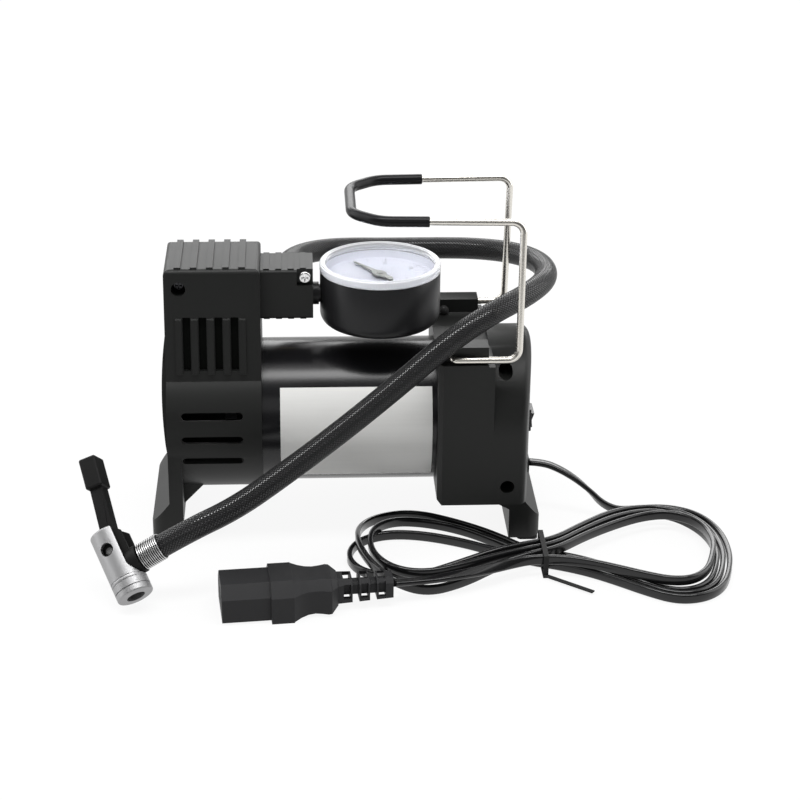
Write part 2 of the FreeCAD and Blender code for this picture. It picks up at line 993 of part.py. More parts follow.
def crank_gear():
    wheel = gear(gear_teeth, gear_left, gear_right, 0, gear_z, axle_radius + running_gap, 180)
    hub = rod_x(6, gear_right, frame_left - moving_gap, 0, gear_z)
    hub = hub.cut(rod_x(axle_radius + running_gap, gear_left - 1, frame_left, 0, gear_z))
    body = join(wheel, hub)
    return body.cut(rod_x(crank_pin_radius, gear_left - 1, gear_left + 2.5, 0, gear_z - crank_radius))


def crank_pin():
    end = rod_left + rod_thickness + 0.3
    return rod_x(crank_pin_radius, end, gear_left + 2.5, 0, gear_z - crank_radius)


rod_left = pump_x - rod_thickness / 2
crown_low = cylinder_base + 0.5


def piston_rod():
    eye_z = gear_z - crank_radius
    eye = rod_x(rod_eye_radius, rod_left, rod_left + rod_thickness, 0, eye_z)
    bar = box(rod_left, rod_left + rod_thickness, -rod_width / 2, rod_width / 2, eye_z, crown_low + 1)
    crown = rod_z(bore_radius - 0.6, crown_low, crown_low + crown_height, pump_x, 0)
    groove = rod_z(bore_radius, crown_low + 2, crown_low + 4.5, pump_x, 0)
    groove = groove.cut(rod_z(bore_radius - 2.5, crown_low, crown_low + 6, pump_x, 0))
    body = join(eye, bar, crown).cut(groove)
    return body.cut(
        rod_x(crank_pin_radius + running_gap, rod_left - 1, rod_left + rod_thickness + 1, 0, eye_z),
    )


def piston_cup():
    ring = rod_z(bore_radius - running_gap, crown_low + 2, crown_low + 4.5, pump_x, 0)
    return ring.cut(rod_z(bore_radius - 2.5, crown_low, crown_low + 6, pump_x, 0))


def pump_cylinder():
    outer = rod_z(bore_radius + cylinder_wall, cylinder_base, cylinder_top, pump_x, 0)
    fins = []
    for index in range(4):
        z = cylinder_base + 2 + 4.6 * index
        fins.append(rod_z(bore_radius + cylinder_wall + cylinder_fin, z, z + 1.6, pump_x, 0))
    return join(outer, *fins).cut(rod_z(bore_radius, cylinder_base - 1, cylinder_top + 1, pump_x, 0))


def valve_plate():
    half = valve_plate_half
    plate = box(pump_x - half, pump_x + half, -half, half, cylinder_top, cylinder_top + valve_plate_height)
    plate = plate.makeFillet(3, edges_along(plate, "z", lambda center: True))
    return plate.cut(rod_z(1.5, cylinder_top - 1, cylinder_top + 5, pump_x, 0))


def cylinder_head():
    half = valve_plate_half
    low = cylinder_top + valve_plate_height
    body = box(pump_x - half, pump_x + half, -half, half, low, cylinder_head_top)
    body = body.makeFillet(3, edges_along(body, "z", lambda center: True))
    chamber = rod_z(6, low - 1, cylinder_head_top - 1.8, pump_x, 0)
    return body.cut(chamber).cut(rod_x(pipe_radius, pump_x, pump_x + half + 1, 0, pipe_z))


pipe_radius = 2.0
pipe_z = 117.4
manifold_left = -33.0
manifold_right = -22.4


def outlet_pipe():
    pipe = rod_x(pipe_radius, pump_x + 8, manifold_left + 3, 0, pipe_z)
    return pipe.cut(rod_x(pipe_radius - 0.8, pump_x, manifold_left + 4, 0, pipe_z))


def air_manifold():
    body = box(manifold_left, manifold_right, -7, 7, block_bottom + wall + 0.3, pipe_z + 1.6)
    body = body.cut(rod_x(pipe_radius, manifold_left - 1, manifold_left + 3, 0, pipe_z))
    body = body.cut(rod_z(1.4, stem_z, pipe_z, manifold_left + 2.4, 0))
    body = body.cut(rod_x(1.4, manifold_left + 2, manifold_right + 1, 0, stem_z))
    body = body.cut(rod_y(1.4, 0, 8, hose_exit_x, hose_z))
    return body


def hose_fitting():
    neck = rod_y(3.6, 7, block_half_depth + 4, hose_exit_x, hose_z)
    corners = []
    for index in range(6):
        angle = math.radians(60 * index)
        x = hose_exit_x + nut_radius * math.cos(angle)
        z = hose_z + nut_radius * math.sin(angle)
        corners.append(Vector(x, block_half_depth + 0.2, z))
    nut = Part.Face(Part.makePolygon(corners + corners[:1])).extrude(Vector(0, nut_height, 0))
    return join(neck, nut).cut(rod_y(1.4, 6, 20, hose_exit_x, hose_z))


def hose_crimp():
    start = block_half_depth + 4
    body = rod_y(crimp_radius, start, crimp_end_y, hose_exit_x, hose_z)
    rims = [edge for edge in body.Edges if edge.Curve.TypeId == "Part::GeomCircle"]
    return body.makeFillet(0.8, rims)


# Gauge

def gauge_case():
    outer = rod_z(gauge_radius, gauge_bottom, gauge_case_top, gauge_x, 0)
    low_rim = [edge for edge in outer.Edges if abs(edge.CenterOfMass.z - gauge_bottom) < 0.01]
    outer = outer.makeFillet(gauge_edge, low_rim)
    inner = rod_z(gauge_radius - gauge_wall, gauge_bottom + gauge_wall, gauge_case_top + 1, gauge_x, 0)
    inner_rim = [edge for edge in inner.Edges if abs(edge.CenterOfMass.z - gauge_bottom - gauge_wall) < 0.01]
    inner = inner.makeFillet(gauge_edge - gauge_wall, inner_rim)
    return outer.cut(inner).cut(rod_x(stem_radius - 1 + 0.02, gauge_x - 40, gauge_x - 15, 0, stem_z))


def gauge_lens():
    outer = rod_z(gauge_radius + 0.3, gauge_case_top, gauge_lens_top, gauge_x, 0)
    top_rim = [edge for edge in outer.Edges if abs(edge.CenterOfMass.z - gauge_lens_top) < 0.01]
    outer = outer.makeFillet(1.2, top_rim)
    return outer.cut(rod_z(gauge_radius - lens_wall, gauge_case_top - 1, gauge_lens_top - 1.6, gauge_x, 0))


def gauge_dial():
    disc = rod_z(gauge_radius - gauge_wall - 0.1, dial_z, dial_z + dial_thickness, gauge_x, 0)
    return disc.cut(rod_z(1.5, dial_z - 1, dial_z + 2, gauge_x, 0))


def needle_shaft_bottom():
    return dial_z - needle_shaft_length


def gauge_needle():
    hub = rod_z(2.4, needle_z, needle_z + 1.6, gauge_x, 0)
    shaft = rod_z(0.8, needle_shaft_bottom(), needle_z + 1, gauge_x, 0)
    corners = [
        Vector(gauge_x - needle_tail, -1.3, needle_z),
        Vector(gauge_x - needle_tail, 1.3, needle_z),
        Vector(gauge_x + needle_reach, 0.35, needle_z),
        Vector(gauge_x + needle_reach, -0.35, needle_z),
    ]
    blade = Part.Face(Part.makePolygon(corners + corners[:1])).extrude(Vector(0, 0, needle_thickness))
    blade.rotate(Vector(gauge_x, 0, 0), Vector(0, 0, 1), needle_rest_angle)
    return join(hub, shaft, blade)


def gauge_movement():
    x0 = gauge_x - gauge_radius + gauge_wall + 2
    half = movement_half_width
    low = stem_z - movement_below
    block = box(x0, gauge_x + movement_reach, -half, half, low, stem_z + movement_above)
    post = rod_z(3, low, dial_z - 0.6, gauge_x, 0)
    body = join(block, post)
    return body.cut(rod_z(0.8 + running_gap, needle_shaft_bottom() - moving_gap, dial_z + 1, gauge_x, 0))


def bourdon_tube():
    z = stem_z - bourdon_drop
    circle = Part.makeCircle(bourdon_radius, Vector(gauge_x, 0, z), Vector(0, 0, 1), 190, 450)
    path = Part.Wire(circle)
    start = circle.valueAt(circle.FirstParameter)
    tangent = circle.tangentAt(circle.FirstParameter)
    section = Part.Wire(Part.makeCircle(2.0, start, tangent))
    return path.makePipeShell([section], True, False)


def gauge_stem():
    pipe = rod_x(stem_radius, manifold_right, gauge_x - gauge_radius - 0.1, 0, stem_z)
    neck = rod_x(
        stem_radius - 1,
        gauge_x - gauge_radius - 0.5,
        gauge_x - gauge_radius + gauge_wall + 2,
        0,
        stem_z,
    )
    return join(pipe, neck).cut(rod_x(1.4, manifold_right - 1, gauge_x, 0, stem_z))


# Handle

def handle_points():
    half = wire_half_gap
    top = wire_top_half_gap
    side = [
        Vector(wire_pivot_x, -wire_end_reach, wire_z),
        Vector(wire_pivot_x, -half, wire_z),
        Vector(wire_leg_x, -half, wire_z),
        Vector(wire_leg_x + 0.8, -top, wire_top_z),
        Vector(wire_end_x + 12, -top + 2.5, wire_top_z),
        Vector(wire_end_x, -top + 13, wire_top_z),
    ]
    other = [Vector(point.x, -point.y, point.z) for point in reversed(side)]
    return side + other


def handle_radii():
    side = [wire_end_bend, wire_bend, wire_bend, 14.0, 12.0]
    return side + side[::-1]


def handle_wire():
    return tube_along(route_wire(handle_points(), handle_radii()), wire_radius)


def handle_grip():
    points = handle_points()
    y = points[3].y + (points[4].y - points[3].y) * (points[3].x - grip_start_x) / (points[3].x - points[4].x)
    start = Vector(grip_start_x, y, wire_top_z)
    end = Vector(grip_start_x, -y, wire_top_z)
    inner_points = [start] + points[4:-4] + [end]
    inner_radii = handle_radii()[3:-3]
    path = route_wire(inner_points, inner_radii)
    sleeve = tube_along(path, grip_radius)
    return sleeve.cut(tube_along(path, wire_radius + 0.02))


# Switch and cord exit

switch_face = end_plane + cap_bulge
rocker_pivot_x = switch_face - 2.5


def switch_body():
    bezel = box(
        switch_face - 0.5,
        switch_face + switch_bezel,
        -switch_half_y,
        switch_half_y,
        switch_z - switch_half_z,
        switch_z + switch_half_z,
    )
    edges = edges_along(bezel, "x", lambda center: True)
    bezel = bezel.makeFillet(0.8, edges)
    half_y = switch_half_y - 1
    half_z = switch_half_z - 1
    body = box(switch_face - switch_depth, switch_face, -half_y, half_y, switch_z - half_z, switch_z + half_z)
    well_y = rocker_half_y + 0.3
    well_z = rocker_half_z + 0.3
    well = box(switch_face - 6, switch_face + 5, -well_y, well_y, switch_z - well_z, switch_z + well_z)
    return join(bezel, body).cut(well)


def switch_rocker():
    half = rocker_half_z - 0.3
    points = [
        (rocker_pivot_x - 2.2, switch_z - 1.2),
        (rocker_pivot_x + 1.5, switch_z - half),
        (rocker_pivot_x + 2.5 + rocker_proud, switch_z - half + 0.2),
        (rocker_pivot_x + 2.5 + rocker_proud - 0.7, switch_z),
        (rocker_pivot_x + 2.5 + rocker_proud, switch_z + half - 0.2),
        (rocker_pivot_x + 1.5, switch_z + half),
        (rocker_pivot_x - 2.2, switch_z + 1.2),
    ]
    body = prism_y(points, -rocker_half_y, rocker_half_y)
    body.rotate(Vector(rocker_pivot_x, 0, switch_z), Vector(0, 1, 0), rocker_tilt)
    return body


def grommet_end_x():
    return switch_face + grommet_flange


def cord_grommet():
    flange = box(switch_face, grommet_end_x(), -4.8, 4.8, cord_exit_z - 3.4, cord_exit_z + 3.4)
    flange = flange.makeFillet(1.2, edges_along(flange, "x", lambda center: True))
    sleeve = box(switch_face - 8, switch_face, -3.8, 3.8, cord_exit_z - 2.4, cord_exit_z + 2.4)
    body = join(flange, sleeve)
    return body.cut(rod_x(cord_radius, switch_face - 9, switch_face, 0, cord_exit_z))


# Chuck

def chuck_placement():
    hose = Vector(chuck_hose_axis).normalize()
    lever = Vector(chuck_mouth_axis).normalize() * -1
    lever = (lever - hose * lever.dot(hose)).normalize()
    side = hose.cross(lever)
    matrix = FreeCAD.Matrix(
        hose.x, lever.x, side.x, chuck_center.x,
        hose.y, lever.y, side.y, chuck_center.y,
        hose.z, lever.z, side.z, chuck_center.z,
        0, 0, 0, 1,
    )
    return FreeCAD.Placement(matrix)


def place_chuck(shape):
    placed = shape.copy()
    placed.Placement = chuck_placement().multiply(shape.Placement)
    return placed


def chuck_body():
    outer = rod_y(chuck_radius, chuck_low, chuck_high, 0, 0)
    rims = [edge for edge in outer.Edges if edge.Curve.TypeId == "Part::GeomCircle"]
    outer = outer.makeFillet(0.8, rims)
    inner = rod_y(chuck_core_radius + 0.1, chuck_low + valve_bore_length, chuck_high + 1, 0, 0)
    mouth = rod_y(valve_bore_radius, chuck_low - 1, chuck_low + valve_bore_length + 1, 0, 0)
    half = chuck_window_half
    window = join(rod_x(half, 2.0, 20, 0, 0), box(2.0, 20, 0, chuck_high + 1, -half, half))
    pin_hole = Part.makeCylinder(2.9, 40, Vector(lever_pivot_x, lever_pivot_y, 0), Vector(0, 0, 1))
    slot_left = lever_pivot_x - cam_radius - 1.5 * moving_gap
    slot = box(slot_left, 20, lever_pivot_y - 5, chuck_high + 1, -lever_slot_half, lever_slot_half)
    body = outer.cut(inner).cut(mouth).cut(window).cut(pin_hole).cut(slot)
    for start, width, depth in chuck_grooves:
        low = chuck_low + start
        groove = rod_y(chuck_radius + 1, low, low + width, 0, 0)
        groove = groove.cut(rod_y(chuck_radius - depth, low - 1, low + width + 1, 0, 0))
        body = body.cut(groove)
    return body


def chuck_core():
    """The black valve block inside the chuck, with the boss that the hose joins."""
    low = chuck_low + valve_bore_length
    core = rod_y(chuck_core_radius, low, lever_pivot_y - 5.6, 0, 0)
    neck = rod_x(4.2, 0, 4.0, 0, 0)
    boss = rod_x(hose_boss_radius, 3.4, ferrule_start, 0, 0)
    ears = box(-4.4, 2.3, lever_pivot_y - 6, lever_pivot_y + 3.4, -5, 5)
    ears = ears.common(rod_y(chuck_core_radius, -20, 20, 0, 0))
    cheek_half = chuck_cheek_half
    cheeks = box(1.8, chuck_cheek_reach, lever_pivot_y - 5.6, chuck_cheek_top, -cheek_half, cheek_half)
    cheeks = cheeks.makeChamfer(
        2.5,
        edges_along(cheeks, "z", lambda center: center.x > 5 and center.y > 10),
    )
    half = lever_slot_half
    gap = box(-12, 12, lever_pivot_y - 5.2, chuck_high + 1, -half, half)
    body = join(core, neck, boss, ears, cheeks).cut(gap)
    body = body.cut(rod_y(seal_radius, low - 1, low + seal_setback + seal_height, 0, 0))
    body = body.cut(rod_y(valve_bore_radius + moving_gap, chuck_low, low, 0, 0))
    body = body.cut(rod_y(air_way_radius, chuck_low, 1, 0, 0))
    return body.cut(rod_side(lever_pin_radius, 10))


def rod_side(radius, half):
    """A round bar through the lever's pivot, square to the hose and to the lever."""
    return rod_z(radius, -half, half, lever_pivot_x, lever_pivot_y)


def lever_pin():
    return rod_side(lever_pin_radius, 4.8)


def chuck_lever():
    cam = rod_side(cam_radius, cam_half_width)
    pad_low = lever_pivot_y + lever_length - 14
    corners = [
        Vector(lever_pivot_x - 2.6, lever_pivot_y, -cam_half_width),
        Vector(lever_pivot_x + 3.4, lever_pivot_y, -cam_half_width),
        Vector(lever_pivot_x + 3.6, pad_low, -cam_half_width),
        Vector(lever_pivot_x - 2.0, pad_low, -cam_half_width),
    ]
    arm = Part.Face(Part.makePolygon(corners + corners[:1])).extrude(Vector(0, 0, 2 * cam_half_width))
    pad = box(lever_pivot_x - 3.2, lever_pivot_x + 4.6, pad_low, lever_pivot_y + lever_length, -5.0, 5.0)
    pad = pad.makeFillet(1.0, pad.Edges)
    lever = join(cam, arm, pad).cut(rod_side(lever_pin_radius + running_gap, 10))
    lever.rotate(Vector(lever_pivot_x, lever_pivot_y, 0), Vector(0, 0, 1), -lever_angle)
    return lever


def chuck_seal():
    low = chuck_low + valve_bore_length + seal_setback
    ring = rod_y(seal_radius, low, low + seal_height, 0, 0)
    return ring.cut(rod_y(air_way_radius, -30, 30, 0, 0))


def hose_ferrule():
    """Close turns of bright wire, drawn as one ridged sleeve."""
    step = ferrule_length / ferrule_turns
    inner = hose_radius + 0.2
    outer = inner + 2 * ferrule_wire
    points = [Vector(ferrule_start, inner, 0)]
    for index in range(ferrule_turns):
        x = ferrule_start + step * index
        points.append(Vector(x + step * 0.18, outer, 0))
        points.append(Vector(x + step * 0.82, outer, 0))
        points.append(Vector(x + step, inner + 0.35, 0))
    points.append(Vector(ferrule_start + ferrule_length, inner, 0))
    face = Part.Face(Part.makePolygon(points + points[:1]))
    return face.revolve(Vector(0, 0, 0), Vector(1, 0, 0), 360)


def in_chuck_frame(x, y, z):
    return chuck_placement().multVec(Vector(x, y, z))


# Air hose: points chosen along the photographed route, from the crimp to the chuck

hose_points = [
    Vector(hose_exit_x, crimp_end_y, hose_z),
    Vector(hose_exit_x, 32.8, hose_z),
    Vector(-22.7, 43.1, 107.6),
    Vector(-16.3, 52.0, 106.9),
    Vector(-7.4, 58.4, 106.1),
    Vector(3.6, 61.9, 105.4),
    Vector(22.0, 62.6, 104.9),
    Vector(43.0, 62.0, 105.2),
    Vector(63.0, 57.6, 106.4),
    Vector(80.2, 47.2, 107.8),
    Vector(90.3, 29.5, 109.2),
    Vector(90.6, 8.6, 109.8),
    Vector(79.5, -10.5, 109.2),
    Vector(63.5, -25.0, 107.2),
    Vector(45.0, -36.5, 99.5),
    Vector(22.0, -46.5, 83.0),
    Vector(-3.0, -55.5, 65.5),
    Vector(-26.5, -64.0, 50.5),
    Vector(-47.6, -72.6, 38.6),
]
hose_end_run = 22.0


def hose_route():
    last = in_chuck_frame(ferrule_start + hose_end_run, 0, 0)
    return hose_points + [last, in_chuck_frame(ferrule_start, 0, 0)]


# Mains lead

lead_points = [
    Vector(91.4, 0.0, cord_exit_z),
    Vector(98.8, -2.2, 21.0),
    Vector(104.2, -5.2, 16.0),
    Vector(109.4, -8.2, 10.2),
    Vector(116.0, -10.2, 4.9),
    Vector(124.0, -10.15, hank_floor),
]
hank_start = Vector(48.0, 45.6, hank_floor)


# Each pass of the hank, as steps in from the outside and layer: round the right lobe and along the lower
# side, then back along the upper side of the left lobe, then through the waist on the upper side.
right_and_lower = [(0, 0), (1, 0), (1, 1), (0, 1)]
upper_left = [(0, 0), (1, 0), (0, 1)]
upper_waist = [(0, 0), (1, 1), (0, 1)]


def right_lobe(step):
    """Corners of the right lobe above its middle line, moved in evenly by the step."""
    gap = step * hank_step
    return [
        (60.0 + 0.08 * gap, 46.6 - 1.18 * gap),
        (79.5 - 0.83 * gap, 35.0 - 0.68 * gap),
        (87.0 - gap, 12.0 - 0.16 * gap),
    ]


def left_lobe_low(step):
    gap = step * hank_step
    return [
        (-58.0 - 0.08 * gap, -23.0 + 1.18 * gap),
        (-74.0 + 0.6 * gap, -19.5 + 0.86 * gap),
        (-84.0 + gap, -4.0 + 0.3 * gap),
    ]


def left_lobe_high(step):
    gap = step * hank_step
    return [
        (-84.0 + gap, 15.0 - 0.2 * gap),
        (-76.0 + 0.83 * gap, 33.0 - 0.68 * gap),
        (-58.0 - 0.08 * gap, 43.0 - 1.18 * gap),
    ]


def waist_half(step):
    return hank_waist + (1 - step) * hank_waist_step


def hank_route():
    points = [hank_start]
    for index, (step, layer) in enumerate(right_and_lower):
        z = hank_floor + layer * hank_layer
        lobe = right_lobe(step)
        points += [Vector(x, y, z) for x, y in lobe]
        points += [Vector(x, -y, z) for x, y in reversed(lobe)]
        points += [Vector(x, -waist_half(step), z) for x in (6.0, -6.0)]
        if index == len(upper_left):
            break
        points += [Vector(x, y, z) for x, y in left_lobe_low(step)]
        step, layer = upper_left[index]
        z = hank_floor + layer * hank_layer
        points += [Vector(x, y, z) for x, y in left_lobe_high(step)]
        step, layer = upper_waist[index]
        z = hank_floor + layer * hank_layer
        points += [Vector(x, waist_half(step), z) for x in (-6.0, 6.0)]
    return [point + hank_center for point in points]


tail_points = [
    Vector(71.0, -64.2, hank_floor + hank_layer),
    Vector(57.5, -71.0, hank_floor + hank_layer),
    Vector(43.5, -79.6, hank_floor + hank_layer + 0.5),
]
tail_end_run = 13.0


def least_gap(wire, radius):
    """Least clear distance between stretches of one tube that are far apart along it."""
    spacing = 1.5
    count = int(wire.Length / spacing)
    points = wire.discretize(Number=count)
    skip = int(8 * radius / spacing)
    best = 1e9
    for index in range(count):
        for other in range(index + skip, count):
            gap = (points[index] - points[other]).Length
            if gap < best:
                best = gap
    return best - 2 * radius


def twist_tie():
    half_y = hank_waist + hank_waist_step + cord_radius + 0.5
    low = tie_thickness / 2
    high = hank_floor + hank_layer + cord_radius + 0.5
    x = hank_center.x
    y = hank_center.y
    ring = box(
        x - tie_half_length,
        x + tie_half_length,
        y - half_y - tie_thickness,
        y + half_y + tie_thickness,
        0,
        high + tie_thickness,
    )
    inner = box(x - 10, x + 10, y - half_y, y + half_y, low, high)
    edge = y - half_y - tie_thickness
    tail = box(
        x - tie_half_length,
        x + tie_half_length,
        edge - tie_tail,
        edge + tie_thickness / 2,
        1.0,
        1.0 + tie_thickness,
    )
    tail.rotate(Vector(x, edge, 0), Vector(0, 0, 1), tie_tail_turn)
    return join(ring, tail).cut(inner)


# Plug, modelled along +X from its front face and then turned into place

def plug_placement():
    return FreeCAD.Placement(plug_front, FreeCAD.Rotation(Vector(0, 0, 1), plug_turn))


def place_plug(shape):
    placed = shape.copy()
    placed.Placement = plug_placement().multiply(shape.Placement)
    return placed


def section_wire(x, half_y, half_z, chamfer):
    points = [
        (-half_y, -half_z),
        (half_y, -half_z),
        (half_y, half_z - chamfer),
        (half_y - chamfer, half_z),
        (-half_y + chamfer, half_z),
        (-half_y, half_z - chamfer),
    ]
    corners = [Vector(x, y, plug_axis_z + z) for y, z in points]
    return Part.makePolygon(corners + corners[:1])


def plug_body():
    x1 = plug_block_length
    x2 = x1 + plug_body_length
    x3 = x2 + plug_waist_length
    front = Part.Face(section_wire(0, plug_block_width / 2, plug_block_height / 2, 5.0)).extrude(
        Vector(x1, 0, 0),
    )
    body = Part.Face(section_wire(x1, plug_body_width / 2, min(plug_body_height / 2, plug_axis_z), 5.5))
    body = body.extrude(Vector(plug_body_length, 0, 0))
    waist = Part.makeLoft(
        [
            section_wire(x2, 13.2, 8.4, 5.3),
            section_wire(x2 + 3, 11.2, 7.7, 4.4),
            section_wire(x2 + 6, 10.0, 7.2, 3.8),
            section_wire(x2 + 9, 9.6, 7.0, 3.6),
            section_wire(x2 + 12, 9.9, 7.2, 3.7),
            section_wire(x2 + 14.5, 10.5, 7.4, 3.9),
            section_wire(x2 + 16, 10.3, 7.3, 3.9),
            section_wire(x3, 6.4, 5.6, 2.6),
        ],
        True,
        True,
    )
    whole = join(front, body, waist)
    for side in (-1, 0, 1):
        slot = box(-1, 14, side * 7 - 1.6, side * 7 + 1.6, plug_axis_z - 3.4, plug_axis_z + 3.4)
        whole = whole.cut(slot)
    return whole


def plug_contacts():
    pieces = []
    for side in (-1, 0, 1):
        clip = box(3, 14, side * 7 - 1.5, side * 7 + 1.5, plug_axis_z - 3.0, plug_axis_z + 3.0)
        pieces.append(
            clip.cut(box(2, 13, side * 7 - 1.1, side * 7 + 1.1, plug_axis_z - 2.6, plug_axis_z + 2.6)),
        )
    return Part.makeCompound(pieces)


def relief_start():
    return plug_block_length + plug_body_length + plug_waist_length


def plug_relief():
    """Rings on a slim core, joined in turn by the core alone and by four corner bars."""
    x0 = relief_start()
    x1 = x0 + plug_relief_length
    sleeve = Part.makeLoft(
        [
            section_wire(x0, relief_half_y, relief_half_z, 2.2),
            section_wire(x1, 0.84 * relief_half_y, 0.84 * relief_half_z, 1.9),
        ],
        True,
        True,
    )
    core = section_wire(x0 - 1, relief_core_half, relief_core_half, 1.0)
    core = Part.Face(core).extrude(Vector(plug_relief_length + 2, 0, 0))
    for index in range(relief_gap_count):
        x = x0 + relief_gap_first + relief_pitch * index
        sleeve = sleeve.cut(box(x, x + relief_gap, -20, 20, 0, 30).cut(core))
    low = plug_axis_z - relief_window_half
    high = plug_axis_z + relief_window_half
    half = relief_window_half
    for index in range(relief_gap_count + 1):
        x = x0 + relief_window_first + relief_pitch * index
        windows = join(
            box(x, x + relief_window, -half, half, 0, 30),
            box(x, x + relief_window, -20, 20, low, high),
        )
        sleeve = sleeve.cut(windows.cut(core))
    return sleeve


def plug_exit(ahead):
    return plug_placement().multVec(Vector(relief_start() + plug_relief_length + ahead, 0, plug_axis_z))


def report_route(name, points, radius):
    radii = cord_radii(points)
    wire = route_wire(points, radii)
    print(name, "length", round(wire.Length, 1), "bend radii", [round(value, 1) for value in radii])
    return tube_along(wire, radius), wire


def build():
    os.makedirs("parts", exist_ok=True)
    casing = head_casing()
    export("head_front_shell", front_half(casing))
    export("head_rear_shell", rear_half(casing))
    export("side_grille", side_grille())
    cap = end_cap()
    export("end_cap_front", front_half(cap))
    export("end_cap_rear", rear_half(cap))
    export("head_screws", Part.makeCompound([screw_at(x, z, seat) for x, z, face, seat in casing_screws()]))
    export("end_cap_screws", Part.makeCompound([screw_at(x, z, seat) for x, z, face, seat in cap_screws()]))
    foot_x = foot_reach - foot_inset_x
    foot_y = leg_half_depth - foot_inset_y
    feet = [rubber_foot(x, y) for x in (-foot_x, foot_x) for y in (-foot_y, foot_y)]
    export("rubber_feet", Part.makeCompound(feet))
    export("label_plate", label_plate())

    export("motor_can", motor_can())
    export("motor_magnets", magnets())
    export("motor_end_plate", motor_end_plate())
    export("gearbox_frame", gearbox_frame())
    export("front_bearing", bearing(frame_left))
    export("rear_bearing", bearing(can_right - bearing_width))
    export("motor_shaft", rod_x(shaft_radius, gear_left - 0.5, can_right - 0.5))
    export("armature_core", armature_core())
    export("armature_windings", windings())
    export("commutator", commutator())
    export("carbon_brushes", brushes())
    export("brush_holder", brush_holder())
    half_pitch = 180 / pinion_teeth
    pinion = gear(pinion_teeth, gear_left - 0.5, gear_right + 0.5, 0, axis_z, shaft_radius, half_pitch)
    export("drive_pinion", pinion)
    export("crank_gear", crank_gear())
    export("crank_pin", crank_pin())
    export("crank_axle", rod_x(axle_radius, gear_left, can_left + 3, 0, gear_z))
    export("piston_rod", piston_rod())
    export("piston_cup", piston_cup())
    export("pump_cylinder", pump_cylinder())
    export("valve_plate", valve_plate())
    export("cylinder_head", cylinder_head())
    export("outlet_pipe", outlet_pipe())
    export("air_manifold", air_manifold())
    export("hose_fitting", hose_fitting())
    export("hose_crimp", hose_crimp())
    export("gauge_stem", gauge_stem())
    export("gauge_case", gauge_case())
    export("gauge_lens", gauge_lens())
    export("gauge_dial", gauge_dial())
    export("gauge_needle", gauge_needle())
    export("gauge_movement", gauge_movement())
    export("bourdon_tube", bourdon_tube())
    export("handle_wire", handle_wire())
    export("handle_grip", handle_grip())
    export("switch_body", switch_body())
    export("switch_rocker", switch_rocker())
    export("cord_grommet", cord_grommet())

    export("chuck_body", place_chuck(chuck_body()))
    export("chuck_core", place_chuck(chuck_core()))
    export("chuck_seal", place_chuck(chuck_seal()))
    export("lever_pin", place_chuck(lever_pin()))
    export("chuck_lever", place_chuck(chuck_lever()))
    export("hose_ferrule", place_chuck(hose_ferrule()))
    hose, hose_wire = report_route("air_hose", hose_route(), hose_radius)
    export("air_hose", hose)

    hank_points = hank_route()
    lead_start = Vector(grommet_end_x(), 0, cord_exit_z)
    lead, lead_wire = report_route("cord_lead", [lead_start] + lead_points + [hank_points[0]], cord_radius)
    export("cord_lead", lead)
    hank, hank_wire = report_route("cord_hank", hank_points, cord_radius)
    export("cord_hank", hank)
    print("cord_hank least gap", round(least_gap(hank_wire, cord_radius), 2))
    tail_route = [hank_points[-1]] + tail_points + [plug_exit(tail_end_run), plug_exit(0)]
    tail, tail_wire = report_route("cord_tail", tail_route, cord_radius)
    export("cord_tail", tail)
    export("twist_tie", twist_tie())
    export("plug_body", place_plug(plug_body()))
    export("plug_contacts", place_plug(plug_contacts()))
    export("plug_relief", place_plug(plug_relief()))


build()
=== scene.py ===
import math

import bmesh
import bpy
from mathutils import Matrix, Vector


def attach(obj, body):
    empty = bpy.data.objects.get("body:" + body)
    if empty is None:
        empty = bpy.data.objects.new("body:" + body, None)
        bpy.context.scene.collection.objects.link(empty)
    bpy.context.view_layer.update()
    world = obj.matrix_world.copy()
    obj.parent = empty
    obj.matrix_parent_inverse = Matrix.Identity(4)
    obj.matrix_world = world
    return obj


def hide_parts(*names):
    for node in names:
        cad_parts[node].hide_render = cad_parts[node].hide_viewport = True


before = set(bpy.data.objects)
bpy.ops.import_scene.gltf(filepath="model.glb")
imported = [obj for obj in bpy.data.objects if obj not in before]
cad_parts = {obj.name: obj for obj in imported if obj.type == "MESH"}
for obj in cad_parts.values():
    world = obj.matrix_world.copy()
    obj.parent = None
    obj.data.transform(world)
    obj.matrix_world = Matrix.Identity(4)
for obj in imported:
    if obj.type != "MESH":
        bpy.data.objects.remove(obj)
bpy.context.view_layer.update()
mm = 0.001
print("frame loaded")


# Camera, in the place that the photograph was taken from

camera = {
    "place": (-0.0212, -0.8678, 0.4406),
    "azimuth": 3.03,
    "elevation": 23.92,
    "roll": 0.57,
    "lens": 95.2,
    "sensor": 36.0,
    "near": 0.05,
    "far": 20,
}


def addObject(name, data):
    made = bpy.data.objects.new(name, data)
    bpy.context.scene.collection.objects.link(made)
    return made


def makeCamera():
    data = bpy.data.cameras.new("camera")
    data.lens = camera["lens"]
    data.sensor_width = camera["sensor"]
    data.clip_start = camera["near"]
    data.clip_end = camera["far"]
    eye = addObject("camera", data)
    azimuth = math.radians(camera["azimuth"])
    elevation = math.radians(camera["elevation"])
    forward = Vector((
        math.sin(azimuth) * math.cos(elevation),
        math.cos(azimuth) * math.cos(elevation),
        -math.sin(elevation),
    ))
    turn = forward.to_track_quat("-Z", "Y")
    roll = Matrix.Rotation(math.radians(camera["roll"]), 4, "Z")
    eye.matrix_world = Matrix.Translation(camera["place"]) @ turn.to_matrix().to_4x4() @ roll
    bpy.context.scene.camera = eye


makeCamera()
print("camera placed")


# Mesh helpers

